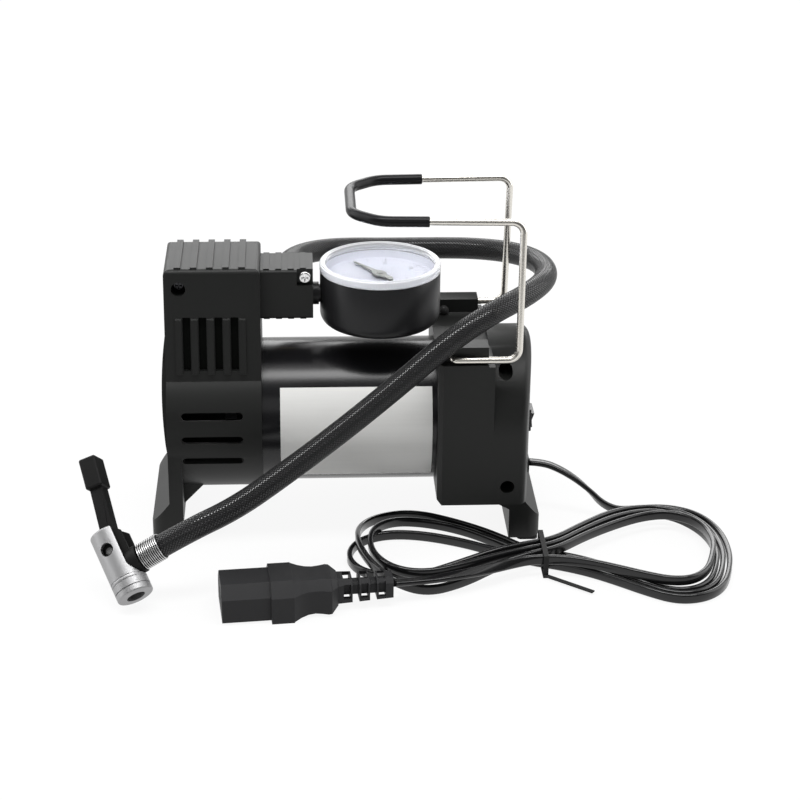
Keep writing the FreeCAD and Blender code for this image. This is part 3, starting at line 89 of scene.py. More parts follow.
def meshPiece(name, vertices, faces, uvs=None, smooth=True):
    mesh = bpy.data.meshes.new(name)
    mesh.from_pydata([tuple(v) for v in vertices], [], faces)
    if uvs is not None:
        layer = mesh.uv_layers.new(name="along")
        for polygon in mesh.polygons:
            for loop, corner in zip(polygon.loop_indices, uvs[polygon.index]):
                layer.data[loop].uv = corner
    mesh.validate()
    mesh.polygons.foreach_set("use_smooth", [smooth] * len(mesh.polygons))
    return addObject(name, mesh)


def splineLine(points, fineness):
    # Points along the smooth line of a route
    curve = bpy.data.curves.new("route", "CURVE")
    curve.dimensions = "3D"
    spline = curve.splines.new("NURBS")
    spline.points.add(len(points) - 1)
    for point, place in zip(spline.points, points):
        point.co = (*place, 1)
    spline.order_u = 3
    spline.use_endpoint_u = True
    curve.resolution_u = fineness
    holder = bpy.data.objects.new("route", curve)
    mesh = bpy.data.meshes.new_from_object(holder)
    line = [v.co.copy() for v in mesh.vertices]
    bpy.data.meshes.remove(mesh)
    bpy.data.objects.remove(holder)
    bpy.data.curves.remove(curve)
    return line


def runsAlong(line):
    # How far along the line each of its points lies
    runs = [0.0]
    for a, b in zip(line, line[1:]):
        runs.append(runs[-1] + (b - a).length)
    return runs


def aheadAt(line, index):
    before = line[max(index - 1, 0)]
    after = line[min(index + 1, len(line) - 1)]
    return (after - before).normalized()


def squareTo(side, ahead):
    return (side - ahead * side.dot(ahead)).normalized()


def roundedLine(points, radii, turnStep=6.0):
    # Straight runs joined by arcs of the given radii, with a point at each few degrees of turn
    line = [points[0].copy()]
    for before, corner, after, radius in zip(points, points[1:], points[2:], radii):
        inward = (corner - before).normalized()
        outward = (after - corner).normalized()
        turn = inward.angle(outward)
        reach = radius * math.tan(turn / 2)
        start = corner - inward * reach
        middle = (outward - inward).normalized()
        centre = corner + middle * (radius / math.cos(turn / 2))
        axis = inward.cross(outward).normalized()
        steps = max(2, math.ceil(math.degrees(turn) / turnStep))
        for index in range(steps + 1):
            spin = Matrix.Rotation(turn * index / steps, 3, axis)
            line.append(centre + spin @ (start - centre))
    line.append(points[-1].copy())
    return line


def sweep(name, line, outline, sideAt, sizeAt=None):
    # Carries a closed outline along a line. sideAt gives its first direction, and sizeAt its size
    runs = runsAlong(line)
    whole = runs[-1]
    count = len(outline)
    around = [0.0]
    for index in range(count):
        a, b = outline[index], outline[(index + 1) % count]
        around.append(around[-1] + math.hypot(b[0] - a[0], b[1] - a[1]))
    vertices = []
    for index, here in enumerate(line):
        ahead = aheadAt(line, index)
        side = squareTo(sideAt(runs[index], whole, ahead), ahead)
        other = ahead.cross(side)
        size = sizeAt(runs[index], whole) if sizeAt else 1.0
        vertices += [here + (side * u + other * v) * size for u, v in outline]
    faces = []
    uvs = []
    for ring in range(len(line) - 1):
        for index in range(count):
            following = (index + 1) % count
            a = ring * count
            b = a + count
            faces.append((a + index, a + following, b + following, b + index))
            uvs.append((
                (runs[ring], around[index]),
                (runs[ring], around[index + 1]),
                (runs[ring + 1], around[index + 1]),
                (runs[ring + 1], around[index]),
            ))
    faces.append(tuple(reversed(range(count))))
    uvs.append([(0, 0)] * count)
    last = (len(line) - 1) * count
    faces.append(tuple(range(last, last + count)))
    uvs.append([(whole, 0)] * count)
    return meshPiece(name, vertices, faces, uvs)


def ringOutline(radius, count):
    return [
        (radius * math.cos(math.tau * i / count), radius * math.sin(math.tau * i / count))
        for i in range(count)
    ]


def upwards(run, whole, ahead):
    return Vector((0, 0, 1))


def lathe(name, outline, place, axis, count, closed=False):
    # Turns an outline of (radius, height) pairs about an axis. A closed outline comes back to its start
    turn = Vector(axis).normalized().to_track_quat("Z", "Y").to_matrix()
    origin = Vector(place)
    vertices = []
    rings = []
    for radius, height in outline:
        if radius == 0:
            rings.append([len(vertices)])
            vertices.append(origin + turn @ Vector((0, 0, height)))
            continue
        ring = []
        for index in range(count):
            angle = math.tau * index / count
            ring.append(len(vertices))
            spot = Vector((radius * math.cos(angle), radius * math.sin(angle), height))
            vertices.append(origin + turn @ spot)
        rings.append(ring)
    faces = []
    pairs = list(zip(rings, rings[1:]))
    if closed:
        pairs.append((rings[-1], rings[0]))
    for low, high in pairs:
        for index in range(count):
            following = (index + 1) % count
            if len(low) == 1:
                faces.append((low[0], high[following], high[index]))
            elif len(high) == 1:
                faces.append((low[index], low[following], high[0]))
            else:
                faces.append((low[index], low[following], high[following], high[index]))
    piece = meshPiece(name, vertices, faces)
    mesh = bmesh.new()
    mesh.from_mesh(piece.data)
    bmesh.ops.recalc_face_normals(mesh, faces=mesh.faces)
    mesh.to_mesh(piece.data)
    mesh.free()
    return piece


# Routes of the hose and the mains lead, point by point as they lie

chuck = {
    "centre": Vector((-95.1, -80.2, 15.0)),
    "mouthAxis": Vector((0.404, -0.676, -0.616)),
    "hoseAxis": Vector((0.856, 0.042, 0.515)),
    "ferruleStart": 9.0,
    "hoseEndRun": 22.0,
}


def chuckFrame():
    hose = chuck["hoseAxis"].normalized()
    lever = squareTo(-chuck["mouthAxis"].normalized(), hose)
    return hose, lever, hose.cross(lever)


def inChuck(x, y, z):
    hose, lever, side = chuckFrame()
    return (chuck["centre"] + hose * x + lever * y + side * z) * mm


hose = {
    "radius": 5.0 * mm,
    "sides": 48,
    "bundles": 22,
    "fineness": 16,
    "route": [
        (-26.0, 22.0, 108.0),
        (-26.0, 32.8, 108.0),
        (-22.7, 43.1, 107.6),
        (-16.3, 52.0, 106.9),
        (-7.4, 58.4, 106.1),
        (3.6, 61.9, 105.4),
        (22.0, 62.6, 104.9),
        (43.0, 62.0, 105.2),
        (63.0, 57.6, 106.4),
        (80.2, 47.2, 107.8),
        (90.3, 29.5, 109.2),
        (90.6, 8.6, 109.8),
        (79.5, -10.5, 109.2),
        (63.5, -25.0, 107.2),
        (45.0, -36.5, 99.5),
        (22.0, -46.5, 83.0),
        (-3.0, -55.5, 65.5),
        (-26.5, -64.0, 50.5),
        (-47.6, -72.6, 38.6),
    ],
}


def makeHose():
    points = [Vector(p) * mm for p in hose["route"]]
    points.append(inChuck(chuck["ferruleStart"] + chuck["hoseEndRun"], 0, 0))
    points.append(inChuck(chuck["ferruleStart"], 0, 0))
    line = splineLine(points, hose["fineness"])
    tube = sweep("hose", line, ringOutline(hose["radius"], hose["sides"]), upwards)
    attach(tube, "housing")
    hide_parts("air_hose")
    return tube, line, points[0]


lead = {
    "width": 4.6 * mm,
    "thickness": 2.5 * mm,
    "coreArc": 2.3,
    "corePoints": 9,
    "groove": 0.80,
    "flatRun": 8 * mm,
    "turnAfterExit": 60 * mm,
    "turnBeforePlug": 70 * mm,
    "fineness": 8,
    "exit": (83.6, 0.0, 23.5),
    "free": [
        (90.6, -0.4, 23.2), (98.0, -2.0, 20.6), (105.2, -4.6, 16.8), (111.8, -7.4, 11.8),
        (117.0, -9.2, 6.4), (123.8, -9.6, 3.0),
    ],
    "hankCentre": (85.0, -55.0, 0.0),
    "low": 2.5,
    "turns": [
        [
            (46.0, 46.4), (62.0, 47.6), (75.5, 40.0), (82.6, 23.0), (83.0, 2.0),
            (79.2, -15.5), (74.0, -28.4), (64.5, -36.2), (52.5, -37.2),
            (41.0, -29.5), (29.5, -19.8), (18.5, -11.6), (6.0, -5.2),
        ],
        [
            (-6.0, -1.0), (-20.0, 8.0), (-36.0, 18.0), (-54.0, 25.0),
            (-69.0, 25.5), (-81.0, 18.0), (-85.5, 4.5), (-80.5, -8.5),
            (-69.0, -14.2), (-54.0, -14.6, 3.0), (-37.0, -8.6, 5.5), (-20.0, -1.0, 7.5),
            (-6.0, 4.0, 7.5),
        ],
        [
            (6.0, 8.2, 7.5), (20.0, 21.5, 7.5), (35.0, 34.5, 7.0), (49.0, 41.5, 5.5), (62.0, 42.5, 4.0),
            (73.0, 35.5, 3.0), (79.4, 21.5), (80.2, 2.5), (76.4, -14.0),
            (71.6, -26.0), (63.0, -33.2), (52.3, -34.0), (42.0, -26.5),
            (31.0, -16.5), (20.0, -7.5), (6.0, -0.6),
        ],
        [
            (-6.0, 3.6), (-20.0, 17.5), (-34.0, 29.5), (-50.0, 37.0),
            (-64.5, 33.6, 5.0), (-74.5, 20.0, 7.5), (-75.5, 0.0, 7.5), (-67.5, -15.8, 7.5),
            (-54.0, -20.4, 7.0), (-37.5, -14.6, 7.0), (-20.0, -6.0, 7.5), (-6.0, -0.6, 7.5),
        ],
        [
            (6.0, 3.6, 7.5), (20.0, 16.8, 7.5), (35.0, 28.5, 7.5), (49.0, 35.5, 6.5), (60.5, 37.0, 5.0),
            (70.0, 31.0, 3.5), (76.4, 19.5), (77.6, 2.8), (73.8, -12.6),
            (69.4, -23.4), (61.8, -30.2), (51.6, -30.8), (41.8, -23.4),
            (32.0, -13.0), (20.5, -3.0), (6.0, 4.0),
        ],
        [
            (-6.0, 8.2), (-19.0, 23.0), (-35.0, 35.5), (-54.0, 46.0),
            (-70.0, 42.5), (-79.5, 29.0, 4.5), (-81.0, 10.0, 7.5), (-76.5, -9.0, 7.5),
            (-67.5, -23.0, 5.8), (-53.0, -28.0, 2.6), (-36.0, -20.2, 2.8), (-20.0, -11.0, 6.2),
            (-6.0, -5.2, 7.5),
        ],
        [
            (6.0, -1.0, 7.5), (20.0, 12.0, 7.5), (35.0, 22.8, 7.5), (48.0, 30.0, 7.5), (59.5, 32.2, 7.5),
            (68.8, 27.5, 7.5), (74.4, 18.0, 7.5), (75.8, 3.2, 7.5), (72.0, -11.5, 7.5),
            (68.0, -22.4, 7.5), (60.8, -29.4, 7.5), (51.6, -30.2, 7.5), (41.5, -25.6, 7.5),
            (30.0, -19.0, 7.5), (18.0, -12.8, 7.5), (6.0, -9.2, 7.5),
        ],
    ],
    "tail": [
        (79.0, -64.2, 7.5), (71.0, -67.2, 7.6), (57.5, -74.4, 8.2), (43.5, -80.0, 8.6),
    ],
    "tailEndRun": 13.0,
}
plug = {
    "front": (-54.5, -92.0, 0.0),
    "turn": 5.6,
    "axis": 8.6,
    "reliefEnd": 72.5,
}


def inPlug(x, y, z):
    turn = Matrix.Rotation(math.radians(plug["turn"]), 3, "Z")
    return (Vector(plug["front"]) + turn @ Vector((x, y, z))) * mm


def hankRoute():
    # The turns of the tied hank, right and left of its tie by turns. A point without a height lies low
    centre = Vector(lead["hankCentre"])
    return [Vector((*p, lead["low"])[:3]) + centre for turn in lead["turns"] for p in turn]


def leadOutline():
    # A twin-core lead in section: two round cores side by side with a shallow groove between
    radius = lead["thickness"] / 2
    offset = lead["width"] / 2 - radius
    arc, count = lead["coreArc"], lead["corePoints"]
    outline = []
    for centre, start in ((offset, -arc / 2), (-offset, math.pi - arc / 2)):
        for index in range(count):
            angle = start + arc * index / (count - 1)
            outline.append((centre + radius * math.cos(angle), radius * math.sin(angle)))
        outline.append((0.0, math.copysign(lead["groove"] * radius, outline[-1][1])))
    return outline


def leadSide(run, whole, ahead):
    # The lead leaves the grommet lying flat, stands on its edge in the hank and lies flat at the plug
    start = min(max((run - lead["flatRun"]) / lead["turnAfterExit"], 0), 1)
    end = min(max((whole - run - lead["flatRun"]) / lead["turnBeforePlug"], 0), 1)
    share = min(start, end)
    share = share * share * (3 - 2 * share)
    level = ahead.cross(Vector((0, 0, 1))).normalized()
    upright = level.cross(ahead)
    angle = share * math.pi / 2
    return level * math.cos(angle) + upright * math.sin(angle)


def makeLead():
    points = [Vector(lead["exit"]) * mm]
    points += [Vector(p) * mm for p in lead["free"]]
    points += [p * mm for p in hankRoute()]
    points += [Vector(p) * mm for p in lead["tail"]]
    points += [inPlug(plug["reliefEnd"] + lead["tailEndRun"], 0, plug["axis"])]
    points += [inPlug(plug["reliefEnd"], 0, plug["axis"])]
    line = splineLine(points, lead["fineness"])
    cord = sweep("mains_lead", line, leadOutline(), leadSide)
    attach(cord, "housing")
    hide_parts("cord_lead", "cord_hank", "cord_tail")
    return cord, line, points[0]


hoseTube, hoseLine, hoseExit = makeHose()
mainsLead, leadLine, leadExit = makeLead()
print("hose", round(runsAlong(hoseLine)[-1], 4), "lead", round(runsAlong(leadLine)[-1], 4))


# Gauge: the lens's face is in pairs of radius and depth, and the lip, skirt, rim and foot are
# shifts outwards and upwards from an edge

gauge = {
    "place": (15.5, 0.0, 0.0),
    "radius": 26.4,
    "wall": 1.3,
    "edge": 5.0,
    "bottom": 94.0,
    "top": 117.9,
    "lip": [(0, -0.4), (-0.15, -0.1), (-0.4, 0)],
    "lensRadius": 26.6,
    "lensTop": 121.6,
    "lensFace": [
        (0, 0.5), (18.0, 0.55), (22.6, 0.8), (23.2, 1.1), (23.7, 1.05), (24.1, 0.5), (24.5, 0.15),
        (24.9, 0.3), (25.2, 0.1),
    ],
    "lensEdge": 0.9,
    "lensGap": 0.05,
    "lensSkirt": [(0, 0.5), (-0.1, 0.2), (-0.3, 0.05)],
    "lensInside": 24.8,
    "lensRoof": (2.6, 0.8, 1.7),
    "dial": 113.6,
    "dialTop": 114.4,
    "dialRadius": 25.1,
    "dialHole": 0.9,
    "dialRim": [(0, -0.3), (-0.3, -0.15), (-0.7, -0.3)],
    "dialFoot": [(-1.0, 0.3), (-1.3, 0)],
    "milkyFrom": 23.6,
    "milkySharpness": 2500.0,
    "milk": 0.55,
    "ringStep": 0.9,
    "ringDepth": 0.35,
    "needle": 115.2,
    "needleTop": 115.9,
    "needleBevel": (0.15, 0.12),
    "needleSide": [
        (19.0, 0.0), (16.8, 0.55), (4.6, 1.0), (3.4, 1.7), (2.2, 2.5), (0.6, 2.9), (-1.0, 2.7),
        (-2.4, 1.6), (-4.0, 1.15), (-6.6, 1.3), (-7.8, 1.1), (-8.3, 0.6), (-8.5, 0.0),
    ],
    "needlePin": [
        (0, 105.6), (0.8, 105.6), (0.8, 115.9), (1.5, 115.9), (1.5, 116.1), (1.2, 116.3), (0, 116.35),
    ],
    "zero": 126.0,
    "sweep": 270.0,
}


# Nodes of all kinds of tree

def addNode(tree, kind, settings, inputs):
    # An input goes by its number, also as n0, n1 and so on, or by its name with _ for a space
    made = tree.nodes.new(kind)
    for key, value in settings.items():
        setattr(made, key, value)
    for key, value in inputs.items():
        if isinstance(key, str):
            key = int(key[1:]) if key[1:].isdigit() else key.replace("_", " ")
        if isinstance(value, bpy.types.NodeSocket):
            tree.links.new(value, made.inputs[key])
        else:
            made.inputs[key].default_value = value
    return made


# Shader helpers: a socket that can be used in plain sums

class Value:
    def __init__(self, maker, socket):
        self.maker = maker
        self.socket = socket

    def maths(self, operation, *values, clamp=False):
        return self.maker.node("ShaderNodeMath", {"operation": operation, "use_clamp": clamp}, *values)

    def __add__(self, other):
        return self.maths("ADD", self, other)

    def __sub__(self, other):
        return self.maths("SUBTRACT", self, other)

    def __rsub__(self, other):
        return self.maths("SUBTRACT", other, self)

    def __mul__(self, other):
        return self.maths("MULTIPLY", self, other)

    def __pow__(self, other):
        return self.maths("POWER", self, other)

    def sine(self):
        return self.maths("SINE", self)

    def absolute(self):
        return self.maths("ABSOLUTE", self)

    def clamped(self):
        return self.maths("ADD", self, 0.0, clamp=True)


class Finish:
    # One material: its Principled shader and the nodes that feed it
    def __init__(self, name, **constants):
        self.material = bpy.data.materials.new(name)
        self.material.use_nodes = True
        self.tree = self.material.node_tree
        self.shader = self.tree.nodes["Principled BSDF"]
        for key, value in constants.items():
            self.shader.inputs[key.replace("_", " ")].default_value = value

    def node(self, kind, settings, *values, output=0, **named):
        inputs = {**dict(enumerate(values)), **named}
        for key, value in inputs.items():
            inputs[key] = value.socket if isinstance(value, Value) else value
        return Value(self, addNode(self.tree, kind, settings, inputs).outputs[output])

    def place(self):
        return self.node("ShaderNodeTexCoord", {}, output="Object")

    def scaled(self, factors):
        return self.node("ShaderNodeMapping", {}, self.place(), Scale=factors)

    def uv(self):
        return self.node("ShaderNodeTexCoord", {}, output="UV")

    def parts(self, vector):
        split = addNode(self.tree, "ShaderNodeSeparateXYZ", {}, {0: vector.socket})
        return [Value(self, output) for output in split.outputs]

    def noise(self, scale, detail=3.0, vector=None):
        inputs = {"Vector": vector or self.place(), "Scale": scale, "Detail": detail, "Roughness": 0.55}
        return self.node("ShaderNodeTexNoise", {}, **inputs)

    def mix(self, factor, first, second):
        first, second = (c if isinstance(c, Value) else (*c, 1) for c in (first, second))
        return self.node("ShaderNodeMix", {"data_type": "RGBA"}, n0=factor, n6=first, n7=second, output=2)

    def feed(self, name, wire):
        self.tree.links.new(wire.socket, self.shader.inputs[name])

    def bump(self, height, distance, strength):
        made = self.node("ShaderNodeBump", {}, Strength=strength, Distance=distance, Height=height)
        self.feed("Normal", made)


def between(low, high, share):
    return share * (high - low) + low


def mouldedPlastic(name, colour, roughness, grain=0.00002, shine=0.3):
    # Fine spark-eroded grain, with broad patches a little shinier
    finish = Finish(name, Specular_IOR_Level=shine)
    patches = finish.noise(scale=28.0, detail=4.0)
    fine = finish.noise(scale=2600.0, detail=2.0)
    finish.feed("Roughness", between(roughness - 0.05, roughness + 0.05, patches))
    light = tuple(c * 1.5 for c in colour)
    finish.feed("Base Color", finish.mix(patches * 0.6 + fine * 0.3, colour, light))
    finish.bump(fine, grain, strength=0.5)
    return finish.material


def turnedMetal(name, colour, roughness, axis="Z", grain=0.000004):
    # Metal with faint lines left by the tool, running round or along the piece
    finish = Finish(name, Metallic=1.0)
    factors = {"X": (1800, 40, 40), "Y": (40, 1800, 40), "Z": (40, 40, 1800)}[axis]
    lines = finish.noise(scale=1.0, detail=2.0, vector=finish.scaled(factors))
    clouds = finish.noise(scale=45.0)
    finish.feed("Roughness", between(roughness - 0.03, roughness + 0.05, lines * 0.6 + clouds * 0.4))
    dark = tuple(c * 0.93 for c in colour)
    finish.feed("Base Color", finish.mix(clouds * 0.4 + lines * 0.6, dark, colour))
    if grain:
        finish.bump(lines, grain, strength=0.4)
    return finish.material


brightSpan = {"left": -0.045, "right": 0.01, "sharpness": 200.0}


def screwMetal(name):
    # Bright plate on the screw of the air block, and dark on the sunk casing screws, set by place across
    # the piece
    finish = Finish(name, Metallic=1.0)
    across = finish.parts(finish.place())[0]
    rise = ((across - brightSpan["left"]) * brightSpan["sharpness"]).clamped()
    fall = ((brightSpan["right"] - across) * brightSpan["sharpness"]).clamped()
    bright = rise * fall
    clouds = finish.noise(scale=900.0)
    finish.feed("Base Color", finish.mix(bright, (0.045, 0.045, 0.048), (0.84, 0.84, 0.84)))
    finish.feed("Roughness", between(0.16, 0.30, clouds))
    finish.bump(clouds, 0.00001, strength=0.4)
    return finish.material


def braidedCover(name):
    # Black braid over the hose: crossing bundles of thread, whose crests glint through their coat. The
    # crests are also painted lighter and the gaps between them darker: painted highlight and painted shade
    finish = Finish(name, Specular_IOR_Level=0.25, Coat_Roughness=0.14, Coat_IOR=1.8)
    along, around = finish.parts(finish.uv())[:2]
    bundle = math.tau * hose["radius"] / hose["bundles"]
    turn = math.pi / bundle
    rising = ((along + around) * turn).sine()
    falling = ((along - around) * turn).sine()
    weave = rising * falling
    over = (weave * 6.0 + 0.5).clamped()
    fineRising = ((along + around) * (turn * 4)).sine()
    fineFalling = ((along - around) * (turn * 4)).sine()
    threads = fineRising * over + fineFalling * (1 - over)
    crest = (weave.absolute() * 1.6).clamped()
    patches = finish.noise(scale=60.0)
    height = crest ** 0.6 * 0.8 + threads * 0.12
    # Crests lighter and gaps darker: painted highlight and painted shade in the weave
    crestLitGapShaded = finish.mix(crest, (0.002, 0.002, 0.002), (0.009, 0.009, 0.010))
    finish.feed("Base Color", finish.mix(patches * 0.25, crestLitGapShaded, (0.014, 0.014, 0.016)))
    finish.feed("Roughness", between(0.36, 0.62, (1 - crest) * 0.6 + patches * 0.4))
    finish.feed("Coat Weight", ((crest - 0.72) * 5.0).clamped() * (threads * 0.5 + 0.5).clamped())
    finish.bump(height, 0.00045, strength=0.9)
    return finish.material


def glossPaint(name, colour, roughness, shine, coat):
    finish = Finish(name, Coat_Weight=coat, Coat_Roughness=0.08, Specular_IOR_Level=shine)
    peel = finish.noise(scale=420.0, detail=2.0)
    clouds = finish.noise(scale=18.0)
    finish.feed("Roughness", between(roughness, roughness + 0.08, clouds))
    finish.feed("Base Color", finish.mix(clouds * 0.5, colour, tuple(c * 1.3 for c in colour)))
    finish.bump(peel, 0.00002, strength=0.25)
    return finish.material


def foil(name):
    # Bare printed foil: a satin silver-white with faint rolling lines
    finish = Finish(name, Metallic=0.05)
    lines = finish.noise(scale=1.0, detail=2.0, vector=finish.scaled((30, 900, 900)))
    clouds = finish.noise(scale=30.0)
    share = lines * 0.5 + clouds * 0.3
    finish.feed("Base Color", finish.mix(share, (0.80, 0.80, 0.78), (0.90, 0.90, 0.88)))
    finish.feed("Roughness", between(0.34, 0.48, clouds))
    finish.bump(lines, 0.000006, strength=0.3)
    return finish.material


def clearLens(name):
    # Clear moulded plastic, a little milky in the thick rim. Faint rings in the rim are painted lighter by
    # radius: painted highlights of its steps
    finish = Finish(name, IOR=1.03, Transmission_Weight=1.0)
    smear = finish.noise(scale=35.0)
    finish.feed("Roughness", between(0.0, 0.03, smear))
    finish.feed("Base Color", finish.mix(smear, (0.95, 0.96, 0.98), (1.0, 1.0, 1.0)))
    across, back = finish.parts(finish.place())[:2]
    across = across - gauge["place"][0] * mm
    radius = (across * across + back * back) ** 0.5
    look = {"Base Color": (0.90, 0.91, 0.93, 1), "Roughness": 0.25}
    milky = addNode(finish.tree, "ShaderNodeBsdfPrincipled", {}, look)
    # Lighter rings by radius: painted highlights of the rim's steps
    rings = (radius * (math.tau / (gauge["ringStep"] * mm))).sine() * gauge["ringDepth"] + gauge["milk"]
    share = ((radius - gauge["milkyFrom"] * mm) * gauge["milkySharpness"]).clamped() * rings
    shaders = {0: share.socket, 1: finish.shader.outputs[0], 2: milky.outputs[0]}
    blend = addNode(finish.tree, "ShaderNodeMixShader", {}, shaders)
    output = finish.tree.nodes["Material Output"]
    finish.tree.links.new(blend.outputs[0], output.inputs["Surface"])
    return finish.material


def printedPaper(name, colour):
    finish = Finish(name)
    fibre = finish.noise(scale=700.0)
    finish.feed("Base Color", finish.mix(fibre * 0.5, colour, tuple(c * 0.95 for c in colour)))
    finish.feed("Roughness", between(0.45, 0.6, fibre))
    return finish.material


materials = {
    "casing": mouldedPlastic("casing_black", (0.009, 0.0095, 0.009), roughness=0.46),
    # Near-black finish for the sheet behind the head's slots: painted shade
    "slot_shade": mouldedPlastic("slot_shade_black", (0.005, 0.0055, 0.005), roughness=0.8, shine=0.04),
    "rubber": mouldedPlastic("rubber_black", (0.016, 0.016, 0.016), roughness=0.7),
    "plug": mouldedPlastic("plug_black", (0.016, 0.016, 0.017), roughness=0.52),
    "lever": mouldedPlastic("lever_black", (0.008, 0.008, 0.008), roughness=0.5, shine=0.15),
    "cord": glossPaint("lead_black", (0.006, 0.006, 0.0065), roughness=0.24, shine=0.2, coat=0.6),
    "sleeve": glossPaint("sleeve_black", (0.008, 0.008, 0.009), roughness=0.28, shine=0.15, coat=0.08),
    "tube": glossPaint("tube_black", (0.007, 0.007, 0.008), roughness=0.2, shine=0.4, coat=0.0),
    "gauge": mouldedPlastic("gauge_black", (0.014, 0.014, 0.015), roughness=0.36, grain=0.00001),
    "rocker": mouldedPlastic("rocker_black", (0.012, 0.012, 0.013), roughness=0.25, grain=0.000004),
    "hose": braidedCover("hose_braid"),
    "foil": foil("label_foil"),
    "lens": clearLens("lens_clear"),
    "dial": printedPaper("dial_white", (0.70, 0.71, 0.79)),
    "ink": printedPaper("dial_ink", (0.25, 0.26, 0.30)),
    "blueInk": printedPaper("dial_blue", (0.55, 0.72, 0.90)),
    "needle": printedPaper("needle_grey", (0.28, 0.29, 0.27)),
    "nickel": turnedMetal("wire_nickel", (0.84, 0.81, 0.75), roughness=0.26, grain=0),
    "zinc": turnedMetal("chuck_zinc", (0.40, 0.40, 0.405), roughness=0.46, axis="X", grain=0),
    "chrome": turnedMetal("bright_wire", (0.62, 0.62, 0.62), roughness=0.22, axis="X", grain=0),
    "screw": screwMetal("screw_plate"),
    "steel": turnedMetal("oiled_steel", (0.10, 0.10, 0.105), roughness=0.5),
    "stack": turnedMetal("stacked_steel", (0.14, 0.14, 0.145), roughness=0.45, axis="X"),
    "copper": turnedMetal("bare_copper", (0.72, 0.36, 0.20), roughness=0.28, axis="X"),
    "brass": turnedMetal("turned_brass", (0.74, 0.57, 0.28), roughness=0.30),
    "aluminium": turnedMetal("cast_aluminium", (0.16, 0.16, 0.16), roughness=0.5, axis="Y"),
    "carbon": mouldedPlastic("pressed_carbon", (0.030, 0.030, 0.032), roughness=0.6),
    "magnet": mouldedPlastic("sintered_magnet", (0.045, 0.045, 0.05), roughness=0.55),
    "nylon": mouldedPlastic("inner_plastic", (0.09, 0.09, 0.10), roughness=0.45),
}
print("materials made")


def paint(piece, key):
    piece.data.materials.clear()
    piece.data.materials.append(materials[key])


cadFinish = {
    "casing": ["cord_grommet"],
    "rubber": ["rubber_feet", "piston_cup", "chuck_seal"],
    "gauge": ["gauge_stem", "hose_crimp"],
    "nylon": ["brush_holder", "gearbox_frame", "gauge_movement"],
    "steel": [
        "motor_end_plate", "motor_shaft", "crank_pin", "crank_axle", "front_bearing", "rear_bearing",
        "drive_pinion", "crank_gear", "valve_plate",
    ],
    "stack": ["armature_core"],
    "copper": ["armature_windings", "commutator"],
    "brass": ["outlet_pipe", "air_manifold", "hose_fitting", "bourdon_tube", "plug_contacts"],
    "aluminium": ["piston_rod", "pump_cylinder", "cylinder_head"],
    "carbon": ["carbon_brushes"],
    "magnet": ["motor_magnets"],
    "tube": ["motor_can"],
    "foil": ["label_plate"],
    "chrome": ["lever_pin"],
}
for key, names in cadFinish.items():
    for name in names:
        paint(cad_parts[name], key)
paint(hoseTube, "hose")
paint(mainsLead, "cord")


# Casings and other moulded pieces: the frame's own solids with their edges rounded

rounding = {"weld": 0.000002, "segments": 2, "angle": 32, "evenness": 50}


def housed(piece, key, *nodes, body="housing", slot=None):
    # Finishes a drawn piece, which rides on a body and stands for nodes of the frame
    paint(piece, key)
    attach(piece, body)
    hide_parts(*nodes)
    return piece


def settled(piece):
    # Keeps what the modifiers make of a piece as its plain mesh
    bpy.context.view_layer.update()
    graph = bpy.context.evaluated_depsgraph_get()
    mesh = bpy.data.meshes.new_from_object(piece.evaluated_get(graph))
    piece.modifiers.clear()
    piece.data = mesh
    return piece


def softened(node, key, width, body="housing", slot=None):
    # A copy of a solid whose sharp edges are rounded, which stands for it
    piece = addObject(node + "_moulding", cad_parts[node].data.copy())
    mesh = bmesh.new()
    mesh.from_mesh(piece.data)
    bmesh.ops.remove_doubles(mesh, verts=mesh.verts, dist=rounding["weld"])
    mesh.to_mesh(piece.data)
    mesh.free()
    bevel = piece.modifiers.new("rounding", "BEVEL")
    bevel.width = width
    bevel.segments = rounding["segments"]
    bevel.limit_method = "ANGLE"
    bevel.angle_limit = math.radians(rounding["angle"])
    bevel.miter_outer = "MITER_ARC"
    evened = piece.modifiers.new("evened", "WEIGHTED_NORMAL")
    evened.mode = "FACE_AREA"
    evened.weight = rounding["evenness"]
    piece.data.polygons.foreach_set("use_smooth", [True] * len(piece.data.polygons))
    return housed(settled(piece), key, node, body=body, slot=slot)


for node in ("head_front_shell", "head_rear_shell", "end_cap_front", "end_cap_rear"):
    softened(node, "casing", 0.35 * mm, slot="casing")
softened("side_grille", "casing", 0.25 * mm, slot="grille")
softened("head_screws", "screw", 0.08 * mm, slot="screws")
softened("end_cap_screws", "screw", 0.08 * mm, slot="screws")
softened("switch_body", "rocker", 0.3 * mm)
softened("switch_rocker", "rocker", 0.3 * mm, body="rocker")
chuckMetal = softened("chuck_body", "zinc", 0.2 * mm, slot="chuck_metal")
chuckCore = softened("chuck_core", "lever", 0.2 * mm, slot="chuck_black")
chuckLever = softened("chuck_lever", "lever", 0.3 * mm, body="lever", slot="chuck_black")
plugBody = softened("plug_body", "plug", 0.5 * mm, slot="plug")
plugRelief = softened("plug_relief", "plug", 0.3 * mm, slot="plug")
tie = softened("twist_tie", "rubber", 0.1 * mm, slot="tie")
print("mouldings rounded")


# A thin near-black sheet stands behind the upright slots as painted shade, so that they read as closed
# pockets in shadow

slotShadeSheet = {"left": -76.0, "right": -43.0, "foot": (-22.7, 70.0), "head": (-19.4, 106.0), "thick": 0.3}


